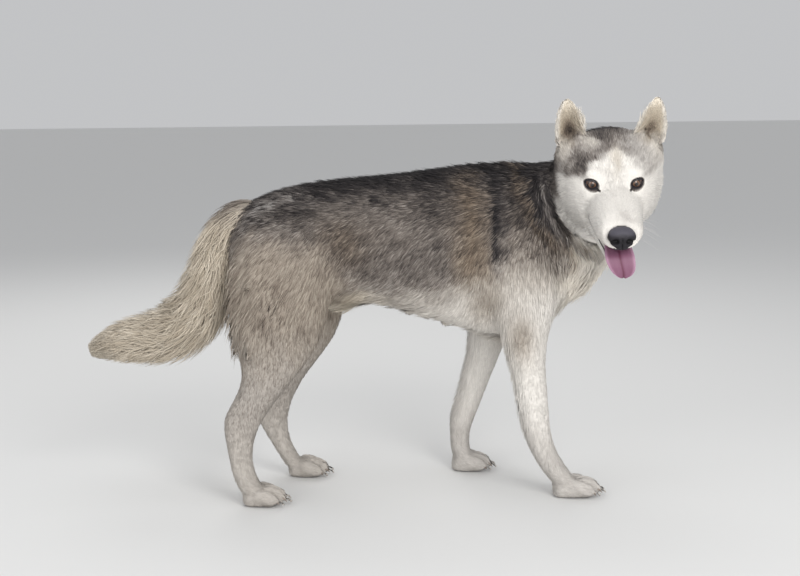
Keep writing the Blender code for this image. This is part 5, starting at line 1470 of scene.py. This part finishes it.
class Coat:
    """Grows every tuft on the skin and the tail."""

    def __init__(self, skin: Skin, markings: Markings, palette: Palette) -> None:
        self.skin = skin
        self.markings = markings
        self.palette = palette
        self.rng = np.random.default_rng(SEED)
        self.spine = self._spines()

    def _spines(self) -> np.ndarray:
        """For each point of the skin, where a tuft rooted there runs: three offsets along the lie."""
        surface, tree = self.skin.surface, self.skin.tree
        length, rise, cling = (surface.values["sizes"][:, k] for k in (0, 1, 4))
        way, points = surface.values["way"], surface.points
        spot, lie, spines = points.copy(), way.copy(), []
        for step in (1, 2, 3):
            target = spot + lie * (length / 3)[:, None]
            found = [tree.find_nearest(p) for p in target.tolist()]
            near = np.array([f[0] for f in found])
            normal = np.array([f[1] for f in found])
            corner = surface.faces[np.array([f[2] for f in found]), 0]
            above = ((target - near) * normal).sum(axis=1)
            keep = np.where(above < 0, 1.0, cling)[:, None]
            spot = target + (near - target) * keep
            even = surface.values["normal"][corner]
            lie = unit(0.5 * lie + 0.5 * way[corner])
            lie = unit(lie - even * ((lie * even).sum(axis=1) * keep[:, 0])[:, None])
            height = rise * (step / 3) ** 0.6
            spines.append(spot + even * height[:, None] - points)
        return np.stack(spines, axis=1)

    def _piece_faces(self) -> dict[str, np.ndarray]:
        """Which of the skin's faces each piece of the coat grows on."""
        surface = self.skin.surface
        label = surface.values["label"][surface.faces[:, 0]].astype(int)
        middle = surface.points[surface.faces].mean(axis=1)
        p, h = middle - MID_LINE, HEAD.into(middle)
        front = (h[:, 0] > -0.022) | ((h[:, 2] > 0.025) & (h[:, 0] > -0.055))
        head, torso = label == Region.HEAD.value, label == Region.TORSO.value
        return {
            "coat_face": head & front,
            "coat_cheeks": head & ~front,
            "coat_ears": (label == Region.EAR_RIGHT.value) | (label == Region.EAR_LEFT.value),
            "coat_neck": label == Region.NECK.value,
            "coat_back_right": torso & (p[:, 1] < 0),
            "coat_back_left": torso & (p[:, 1] >= 0),
            "coat_foreleg_right": label == Region.FORELEG_RIGHT.value,
            "coat_foreleg_left": label == Region.FORELEG_LEFT.value,
            "coat_hindleg_right": label == Region.HINDLEG_RIGHT.value,
            "coat_hindleg_left": label == Region.HINDLEG_LEFT.value,
        }

    @staticmethod
    def _unwrap(name: str, points: np.ndarray) -> np.ndarray:
        """A place from 0 to 1 on an unwrap of the skin: a cylinder about the piece's own axis."""
        if name in ("coat_face", "coat_cheeks", "coat_ears"):
            h = HEAD.into(points)
            along, a, b = h[:, 0] + 0.5 * np.hypot(h[:, 1], h[:, 2] + 0.03), h[:, 1], h[:, 2] + 0.03
        elif "leg" in name:
            along, a, b = points[:, 2], points[:, 0] - points[:, 0].mean(), points[:, 1] - points[:, 1].mean()
        else:
            along, a, b = points[:, 0], points[:, 1] - MID_LINE[1], points[:, 2] - 0.42
        low, high = along.min(), along.max()
        return np.stack([0.01 + 0.98 * (along - low) / (high - low), 0.5 + 0.49 * np.arctan2(a, b) / np.pi], axis=1)

    def _on_skin(self, lay: Lay, faces: np.ndarray) -> Tufts:
        """Tufts spread evenly over some of the skin's faces, closer where they are small."""
        surface, rng = self.skin.surface, self.rng
        corners = surface.faces[faces]
        a, b, c = (surface.points[corners[:, k]] for k in range(3))
        area = np.linalg.norm(np.cross(b - a, c - a), axis=1)
        sizes = surface.values["sizes"][corners].mean(axis=1)
        bald = surface.values["bald"][corners].mean(axis=1)
        weight = area / (sizes[:, 0] * sizes[:, 2]) ** 0.85 * (bald < 0.45)
        total = np.cumsum(weight)
        picks = np.searchsorted(total, (np.arange(lay.count) + rng.random(lay.count)) / lay.count * total[-1])
        picks = np.minimum(picks, len(corners) - 1)
        root = np.sqrt(rng.random(lay.count))
        other = rng.random(lay.count)
        bary = np.stack([1 - root, root * (1 - other), root * other], axis=1)

        def at(values: np.ndarray) -> np.ndarray:
            found = values[corners[picks]]
            return (found * bary.reshape(bary.shape + (1,) * (found.ndim - 2))).sum(axis=1)

        spot, normal, way, size = (at(v) for v in (surface.points, surface.values["normal"], surface.values["way"],
                                                   surface.values["sizes"]))
        spine = at(self.spine)
        scale = np.clip(1 + lay.ragged * rng.normal(size=lay.count), 0.45, 1.5)[:, None, None]
        sway = np.cross(way, normal) * (size[:, [0]] * 0.10 * rng.normal(size=(lay.count, 1)))
        lift = normal * (size[:, [1]] * 0.30 * rng.normal(size=(lay.count, 1)))
        bend = np.array((0.12, 0.45, 1.0))[None, :, None]
        spine = spine * scale + (sway + lift)[:, None] * bend
        shares = at(surface.values["shares"])
        tone = self.markings.tone(spot + spine[:, 1] * 0.9, shares)
        tone[:, 0] += 0.035 * rng.normal(size=lay.count)
        width = size[:, 2] * rng.uniform(0.7, 1.3, lay.count)
        sunk = spot - normal * (0.25 * size[:, [1]] + 0.0002)
        return Tufts(sunk, spine, normal, width, np.column_stack([np.clip(tone, 0, 1), rng.random(lay.count)]),
                     self._unwrap(lay.name, spot))

    def _on_tail(self, lay: Lay) -> Tufts:
        """Long tufts from the tail's core out to the brush's outline, each at its own angle round the tail."""
        rng, count = self.rng, lay.count
        start = rng.random(count) ** 0.95 * 0.93
        angle = rng.uniform(0, 2 * np.pi, count)
        stations = np.linalg.norm(np.diff(TAIL[:, :3], axis=0), axis=1).sum()
        reach = np.minimum(rng.uniform(0.040, 0.075, count) / stations, 1.0 - start)
        full = mix(rng.uniform(0.35, 1.0, count), rng.random(count), ease(0.84, 0.98, start + reach)) ** 0.5
        knots = []
        for step in range(4):
            place = start + reach * step / 3
            rows = along_rows(TAIL, place)
            ahead = unit(along_rows(TAIL, place + 0.02)[:, :3] - along_rows(TAIL, place - 0.02)[:, :3])
            up = np.cross(ahead, (0.0, 1.0, 0.0))
            turn = angle + rng.normal(size=count) * 0.08 * step
            out = np.cos(turn)[:, None] * np.array((0.0, 1.0, 0.0)) + np.sin(turn)[:, None] * up
            core = rows[:, 4] * 0.80 * np.sqrt(np.clip((1.0 - place) / 0.10, 0.0, 1.0))
            radius = core + (rows[:, 3] * full - core).clip(0.001) * (step / 3) ** 0.62
            knots.append(rows[:, :3] + MID_LINE + out * radius[:, None])
            if step == 0:
                outward = unit(out + ahead * (2.0 * ease(0.84, 1.0, start + reach))[:, None])
        spine = np.stack([k - knots[0] for k in knots[1:]], axis=1)
        shares = np.zeros((count, len(Region)))
        shares[:, Region.TAIL.value] = 1.0
        tone = self.markings.tone(knots[2], shares)
        tone[:, 0] += 0.05 * rng.normal(size=count)
        patch = np.stack([0.01 + 0.98 * start, 0.01 + 0.98 * angle / (2 * np.pi)], axis=1)
        width = 0.0021 * rng.uniform(0.7, 1.3, count) * (1 - 0.30 * start)
        return Tufts(knots[0], spine, outward, width, np.column_stack([np.clip(tone, 0, 1), rng.random(count)]), patch)

    def grow(self) -> None:
        """Makes every piece of the coat."""
        faces = self._piece_faces()
        for lay in LAYS:
            tufts = self._on_tail(lay) if lay.name == "coat_tail" else self._on_skin(lay, faces[lay.name])
            surface, patch = tufts.surface(lay, self.rng)
            surface.points[:, 2] = np.maximum(surface.points[:, 2], 0.0006)
            mesh = mesh_of(lay.name, surface)
            lit = mix(surface.normals(), np.repeat(tufts.out, len(surface.points) // len(tufts.root), axis=0), np.array(lay.calm))
            mesh.normals_split_custom_set_from_vertices(unit(lit).tolist())
            layer = mesh.uv_layers.new(name="OFBake")
            layer.data.foreach_set("uv", np.clip(patch, 0.0, 1.0)[surface.faces.ravel()].astype(np.float32).ravel())
            publish(lay.name, mesh, self.palette.fur(), lay.slot)


class Features:
    """Eyes, lid rims, nose leather, tongue, lips, whiskers and claws."""

    TOES = ((-0.0235, 0.83), (-0.0085, 0.98), (0.0085, 0.98), (0.0235, 0.83))
    NOSE = np.array((
        (0.0900, -0.0350, -0.0600, -0.0455, 0.0170),
        (0.0955, -0.0320, -0.0625, -0.0455, 0.0196),
        (0.1020, -0.0320, -0.0645, -0.0460, 0.0204),
        (0.1075, -0.0340, -0.0650, -0.0470, 0.0194),
        (0.1112, -0.0375, -0.0638, -0.0484, 0.0162),
        (0.1134, -0.0425, -0.0605, -0.0500, 0.0110),
        (0.1141, -0.0470, -0.0550, -0.0510, 0.0045),
    ))
    TONGUE = np.array((
        (0.0220, -0.0690, 0.0150, 0.0026), (0.0520, -0.0765, 0.0185, 0.0030), (0.0760, -0.0820, 0.0215, 0.0030),
        (0.0895, -0.0870, 0.0226, 0.0029), (0.0960, -0.0960, 0.0215, 0.0027), (0.0990, -0.1055, 0.0180, 0.0025),
        (0.1000, -0.1120, 0.0125, 0.0021), (0.1001, -0.1155, 0.0070, 0.0016), (0.1000, -0.1172, 0.0020, 0.0010),
    ))
    LIP = np.array((
        (0.0300, 0.0455, -0.0420), (0.0460, 0.0425, -0.0520), (0.0640, 0.0370, -0.0630), (0.0800, 0.0290, -0.0695),
        (0.0920, 0.0180, -0.0715), (0.0985, 0.0080, -0.0705), (0.1000, 0.0000, -0.0690),
    ))
    LOWER_LIP = np.array((
        (0.0180, 0.0400, -0.0640), (0.0350, 0.0300, -0.0780), (0.0540, 0.0235, -0.0875), (0.0700, 0.0185, -0.0925),
        (0.0790, 0.0110, -0.0955), (0.0815, 0.0000, -0.0965),
    ))

    def __init__(self, skin: Skin, palette: Palette) -> None:
        self.skin = skin
        self.palette = palette
        self.rng = np.random.default_rng(SEED + 1)

    def build(self) -> None:
        """Makes every feature."""
        eye = self.palette.eye()
        for side, word in ((-1, "right"), (1, "left")):
            publish("eyeball_" + word, mesh_of("eyeball", self._eye(side)), eye, "eye", "eye_" + word)
            publish("lid_rim_" + word, mesh_of("lid_rim", self._lid_rim(side)), self.palette.plain(RIM), "coat_face")
        publish("nose_leather", mesh_of("nose_leather", self._nose()), self.palette.nose(), "nose_leather", "nose")
        publish("tongue_flesh", mesh_of("tongue_flesh", self._tongue()), self.palette.tongue(), "tongue_pink", "tongue")
        publish("lips", mesh_of("lips", self._lips()), self.palette.plain(RIM), "coat_face")
        publish("whiskers", mesh_of("whiskers", self._whiskers()), self.palette.plain(WHISKER), "coat_face")
        publish("claws", mesh_of("claws", self._claws()), self.palette.plain(CLAW), "coat_leg")

    @staticmethod
    def _eye(side: int) -> Surface:
        """A ball with its poles on the line of sight, a little domed at the cornea."""
        polar = np.linspace(0, np.pi, 56)[:, None]
        around = (np.arange(64) * 2 * np.pi / 64)[None, :]
        radius = EYE_RADIUS * (1 + 0.045 * np.exp(-((polar / 0.62) ** 2)))
        grid = np.stack([radius * np.cos(polar) + 0 * around, radius * np.sin(polar) * np.cos(around),
                         radius * np.sin(polar) * np.sin(around)], axis=-1)
        inner = grid[1:-1].reshape(-1, 3)
        poles = np.array((grid[0, 0], grid[-1, 0]))
        quads = grid_faces(54, 64, True)
        k = np.arange(64)
        n = (k + 1) % 64
        caps = [np.stack([np.full(64, len(inner)), n, k], 1),
                np.stack([np.full(64, len(inner) + 1), k + 53 * 64, n + 53 * 64], 1)]
        faces = np.concatenate([quads[:, [0, 1, 2]], quads[:, [0, 2, 3]]] + caps)
        points = np.concatenate([inner, poles])
        a, b, c = (points[faces[:, j]] for j in range(3))
        if np.einsum("ij,ij->", a, np.cross(b, c)) < 0:
            faces = faces[:, ::-1]
        angle = np.concatenate([np.repeat(polar[1:-1, 0], 64), (0.0, np.pi)])
        turn = np.concatenate([np.tile(np.abs(np.mod(around[0], np.pi) - np.pi / 2), 54), (0.0, 0.0)])
        values = {"gaze": np.stack([angle, turn, np.zeros(len(angle))], axis=1)}
        return Surface(eye_frame(side).out(points @ rotation(2, -side * GAZE_IN).T), faces, values)

    @staticmethod
    def _lid_rim(side: int) -> Surface:
        """A dark band along the edge of the lids, drawn out at the inner corner."""
        angle = np.arange(96) * 2 * np.pi / 96
        c, s = np.cos(angle), np.sin(angle)
        y = c * (LID_OPENING[0] - 0.0004)
        z = np.sign(s) * np.abs(s) ** 1.35 * (LID_OPENING[1] + 0.0001)
        inner = ease(0.80, 1.0, -side * c)
        y = y - side * 0.0022 * inner
        z = z - 0.0012 * inner
        ball = EYE_RADIUS + 0.0007
        x = np.sqrt(np.maximum(ball**2 - y**2 - z**2, (0.0035) ** 2))
        path = np.stack([x, y, z], axis=1)
        out = unit(path)
        ahead = unit(np.roll(path, -1, axis=0) - np.roll(path, 1, axis=0))
        across = unit(np.cross(ahead, out))
        half = 0.0013 + 0.0003 * np.clip(s, 0, 1)
        axes = eye_frame(side)
        return tube(axes.out(path), axes.out_way(across), axes.out_way(out), half, np.full(96, 0.00095), 10, closed=True)

    def _nose(self) -> Surface:
        """Rings from the muzzle to the tip, with nostrils drawn in as commas and a groove between them."""
        rows = along_rows(self.NOSE, np.linspace(0, 1, 70))
        angle = np.arange(112) * 2 * np.pi / 112
        c, s = np.cos(angle), np.sin(angle)
        ahead, top, low, middle, wide = (rows[:, [k]] for k in range(5))
        v = np.sign(c) * np.abs(c) ** (2 / 2.4) * wide
        rise = np.where(s > 0, top - middle, middle - low)
        w = middle + np.sign(s) * np.abs(s) ** (2 / 2.4) * rise
        v = v * (1 - 0.30 * ease(-0.047, -0.065, w))
        grid = np.stack([np.broadcast_to(ahead, v.shape), v, w], axis=-1)
        points = np.concatenate([grid.reshape(-1, 3), grid[:1].mean(axis=1), grid[-1:].mean(axis=1)])
        count, sides = grid.shape[:2]
        quads = grid_faces(count, sides, True)
        k = np.arange(sides)
        n = (k + 1) % sides
        caps = [np.stack([np.full(sides, count * sides), n, k], 1),
                np.stack([np.full(sides, count * sides + 1), k + (count - 1) * sides, n + (count - 1) * sides], 1)]
        faces = np.concatenate([quads[:, [0, 1, 2]], quads[:, [0, 2, 3]]] + caps)
        surface = Surface(points, faces)
        normals = surface.normals()
        if (normals[:, 0] * (points[:, 0] - 0.1)).sum() < 0:
            surface.faces = faces[:, ::-1]
            normals = -normals
        side, w, u = np.abs(points[:, 1]), points[:, 2], points[:, 0]
        shaded_hollow = np.zeros(len(points))
        for along in np.linspace(0, 1, 9):
            place = np.array((0.1150 - 0.0060 * along**1.6, 0.0098 + 0.0098 * along, -0.0500 - 0.0030 * along**1.5))
            size = 0.0040 - 0.0021 * along
            gap = np.hypot(side - place[1], w - place[2])
            shaded_hollow = np.maximum(shaded_hollow, np.exp(-((gap / size) ** 2.6)) * (1 - 0.35 * along) * (u > 0.098))
        groove = bump_at(points[:, 1], 0.0, 0.0010) * ease(-0.042, -0.048, w) * (u > 0.1)
        step = 0.0062 * shaded_hollow + 0.0016 * groove
        push = np.stack([-step, -0.25 * step * np.sign(points[:, 1]), np.zeros(len(step))], axis=1)
        alar = 0.0011 * bump_at(np.hypot(side - 0.0130, w + 0.0475), 0.0078, 0.0026) * (u > 0.1)
        surface.points = HEAD.out(points + push + normals * alar[:, None])
        # Upward-facing leather gets a painted highlight; the nostrils and the groove between them get painted shade
        top_highlight = ease(0.15, 0.75, normals[:, 2])
        surface.values = {"relief_painted_light": np.stack([np.clip(shaded_hollow + 0.6 * groove, 0, 1), top_highlight, 0 * groove], axis=1)}
        return surface

    def _tongue(self) -> Surface:
        """A soft strap over the lower lip, grooved down its middle, with a thin curled edge."""
        rows = along_rows(self.TONGUE, np.linspace(0, 1, 72))
        lean = 0.0064 * ease(-0.080, -0.116, rows[:, 1])
        path = np.stack([rows[:, 0], lean, rows[:, 1]], axis=1)
        ahead = unit(np.gradient(path, axis=0))
        across = np.tile((0.0, 1.0, 0.0), (72, 1))
        over = np.cross(ahead, across)
        over *= np.sign(over[0, 2])
        surface = tube(path, across, over, rows[:, 2], rows[:, 3], 48)
        points = surface.points
        v = points[:, 1] - np.concatenate([np.repeat(lean, 48), lean[[0, -1]]])
        share = np.abs(v) / np.concatenate([np.repeat(rows[:, 2], 48), rows[[0, -1], 2]])
        lift = np.concatenate([np.repeat(over, 48, axis=0), over[[0, -1]]])
        groove = np.exp(-((v / 0.0016) ** 2))
        curl = 0.0022 * share**2 - 0.0013 * groove + 0.0003 * np.sin(v / 0.0017)
        surface.points = HEAD.out(points + lift * curl[:, None])
        # The groove channel carries painted shade
        surface.values = {"relief_painted_light": np.stack([ease(0.72, 1.0, share), groove, 0 * share], axis=1)}
        return surface

    def _on_muzzle(self, points: np.ndarray, above: float) -> np.ndarray:
        """Head-frame places moved on to the skin, then out by a little."""
        found = [self.skin.tree.find_nearest(p) for p in HEAD.out(points).tolist()]
        return np.array([f[0] + f[1] * above for f in found])

    def _lips(self) -> Surface:
        """Dark edges of the upper and lower lips, from one corner of the mouth round the front to the other."""
        made = []
        for line, half, rise in ((self.LIP, 0.0026, 0.0012), (self.LOWER_LIP, 0.0030, 0.0016)):
            one = along_rows(line, np.linspace(0, 1, 40))
            whole = np.concatenate([one, (one * (1, -1, 1))[-2::-1]])
            path = self._on_muzzle(whole, 0.0002)
            for _ in range(3):
                path[1:-1] = 0.5 * path[1:-1] + 0.25 * (path[:-2] + path[2:])
            ahead = unit(np.gradient(path, axis=0))
            out = unit(path - HEAD.out((0.045, 0.0, -0.075)))
            across = unit(np.cross(ahead, out))
            out = np.cross(across, ahead)
            taper = np.sin(np.linspace(0, np.pi, len(path))) ** 1.1
            made.append(tube(path, across, out, half * taper + 1e-4, rise * taper + 1e-4, 10))
        return joined(made)

    def _whiskers(self) -> Surface:
        """Fine curved bristles in rows on both sides of the muzzle."""
        made = []
        for side in (-1, 1):
            for row in range(4):
                for k in range(5):
                    root = np.array((0.048 + 0.0085 * k, side * (0.0385 - 0.0028 * k), -0.030 - 0.0085 * row))
                    root += self.rng.normal(size=3) * 0.0012
                    root = HEAD.into(self._on_muzzle(root[None], -0.0006))[0]
                    length = self.rng.uniform(0.024, 0.044)
                    way = unit(np.array((-0.15 + 0.1 * k, side * 1.0, -0.25 - 0.10 * row)) + self.rng.normal(size=3) * 0.08)
                    s = np.linspace(0, 1, 9)[:, None]
                    path = root + way * length * s + np.array((-0.35, 0, -0.25)) * length * s**2
                    ahead = unit(np.gradient(path, axis=0))
                    across = unit(np.cross(ahead, (0.0, 0.0, 1.0)))
                    thick = 0.00020 * (1 - 0.85 * s[:, 0])
                    made.append(tube(HEAD.out(path), HEAD.out_way(across), HEAD.out_way(np.cross(across, ahead)), thick, thick, 5))
        return joined(made)

    def _claws(self) -> Surface:
        """A hooked, tapered claw at each toe."""
        made = []
        for toe_tip, length, y in PAWS.values():
            for offset, share in self.TOES:
                root = np.array((toe_tip - (1 - share) * length - 0.0098, y + offset * 1.05, 0.0118)) + MID_LINE
                s = np.linspace(0, 1, 14)[:, None]
                path = root + np.array((0.0085, 0, 0.0)) * s + np.array((0.0, 0, -0.0062)) * s**2.0
                ahead = unit(np.gradient(path, axis=0))
                across = np.tile((0.0, 1.0, 0.0), (14, 1))
                thick = 0.0021 * (1 - s[:, 0] ** 2.0) + 0.0003
                made.append(tube(path, across, np.cross(across, ahead), thick * 0.72, thick, 12))
        return joined(made)


class Studio:
    """Floor, lights and the photograph's camera."""

    def __init__(self, palette: Palette) -> None:
        self.palette = palette

    def build(self) -> None:
        """Makes all of it, and shows colours as they are, with no film curve."""
        bpy.context.scene.view_settings.view_transform = "Standard"
        self._floor()
        self._lights()
        self._camera()

    def _floor(self) -> None:
        """A plain pale floor."""
        mesh = bpy.data.meshes.new("floor")
        mesh.from_pydata([(-40, -40, 0), (40, -40, 0), (40, 40, 0), (-40, 40, 0)], [], [(0, 1, 2, 3)])
        floor = bpy.data.objects.new("floor", mesh)
        bpy.context.scene.collection.objects.link(floor)
        mesh.materials.append(self.palette.plain(FLOOR))
        floor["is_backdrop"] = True

    @staticmethod
    def _lights() -> None:
        """Soft lamps from the front, sides, back and above."""
        world = bpy.data.worlds.new("studio")
        bpy.context.scene.world = world
        world.use_nodes = True
        background = world.node_tree.nodes["Background"]
        background.inputs["Color"].default_value = (0.97, 0.98, 1.0, 1.0)
        background.inputs["Strength"].default_value = 0.56
        lamps = (
            ("key", (0.85, -2.1, 1.6), 1.1, 24.0, (1.0, 0.99, 0.975)),
            ("fill", (-2.0, -1.8, 1.1), 2.4, 18.0, (0.98, 0.99, 1.0)),
            ("front", (0.5, -2.6, 0.35), 1.6, 28.0, (1.0, 0.99, 0.98)),
            ("rim", (-0.4, 2.0, 2.2), 2.0, 17.0, (1.0, 0.99, 0.97)),
            ("top", (0.0, 0.1, 2.8), 2.2, 7.0, (1.0, 1.0, 1.0)),
        )
        for name, place, size, power, colour in lamps:
            light = bpy.data.lights.new(name, "AREA")
            light.shape, light.size, light.energy, light.color = "DISK", size, power, colour
            lamp = bpy.data.objects.new(name, light)
            bpy.context.scene.collection.objects.link(lamp)
            lamp.location = place
            lamp.rotation_euler = (Vector((0.0, 0.0, 0.32)) - Vector(place)).to_track_quat("-Z", "Y").to_euler()

    @staticmethod
    def _camera() -> None:
        """The camera, where the photograph was taken from."""
        data = bpy.data.cameras.new("photo")
        data.sensor_fit = "HORIZONTAL"
        data.sensor_width = 36.0
        data.lens = 36.0 * LENS_PIXELS / PHOTO_SIZE[0]
        data.clip_start, data.clip_end = 0.05, 60.0
        camera = bpy.data.objects.new("photo", data)
        bpy.context.scene.collection.objects.link(camera)
        azimuth = CAMERA_AZIMUTH
        pitch = math.atan((PHOTO_SIZE[1] / 2 - HORIZON_ROW) / LENS_PIXELS)
        place = Vector((CAMERA_DISTANCE * math.sin(azimuth), -CAMERA_DISTANCE * math.cos(azimuth), CAMERA_HEIGHT))
        look = Vector((-math.sin(azimuth) * math.cos(pitch), math.cos(azimuth) * math.cos(pitch), -math.sin(pitch)))
        camera.location = place + Vector(MID_LINE.tolist())
        turn = look.to_track_quat("-Z", "Y").to_matrix()
        roll = np.array(rotation(2, CAMERA_ROLL)).tolist()
        camera.rotation_euler = (turn @ Matrix(roll).transposed()).to_euler()
        bpy.context.scene.camera = camera


def write_sizes(found: tuple) -> None:
    """Gathers the solids' box and the finished dog's into a table that is left unused."""
    sizes = {"cad": [list(corner) for corner in CAD_BOX], "shown": [list(corner) for corner in found]}


def main() -> None:
    """Builds the dog and the studio."""
    logging.basicConfig(level=logging.INFO, format="%(message)s")
    palette, markings = Palette(), Markings()
    skin = Skin(frame["nodes"])
    skin.publish(markings, palette)
    Coat(skin, markings, palette).grow()
    Features(skin, palette).build()
    Studio(palette).build()
    write_sizes(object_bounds())


if __name__ == "__main__":
    main()
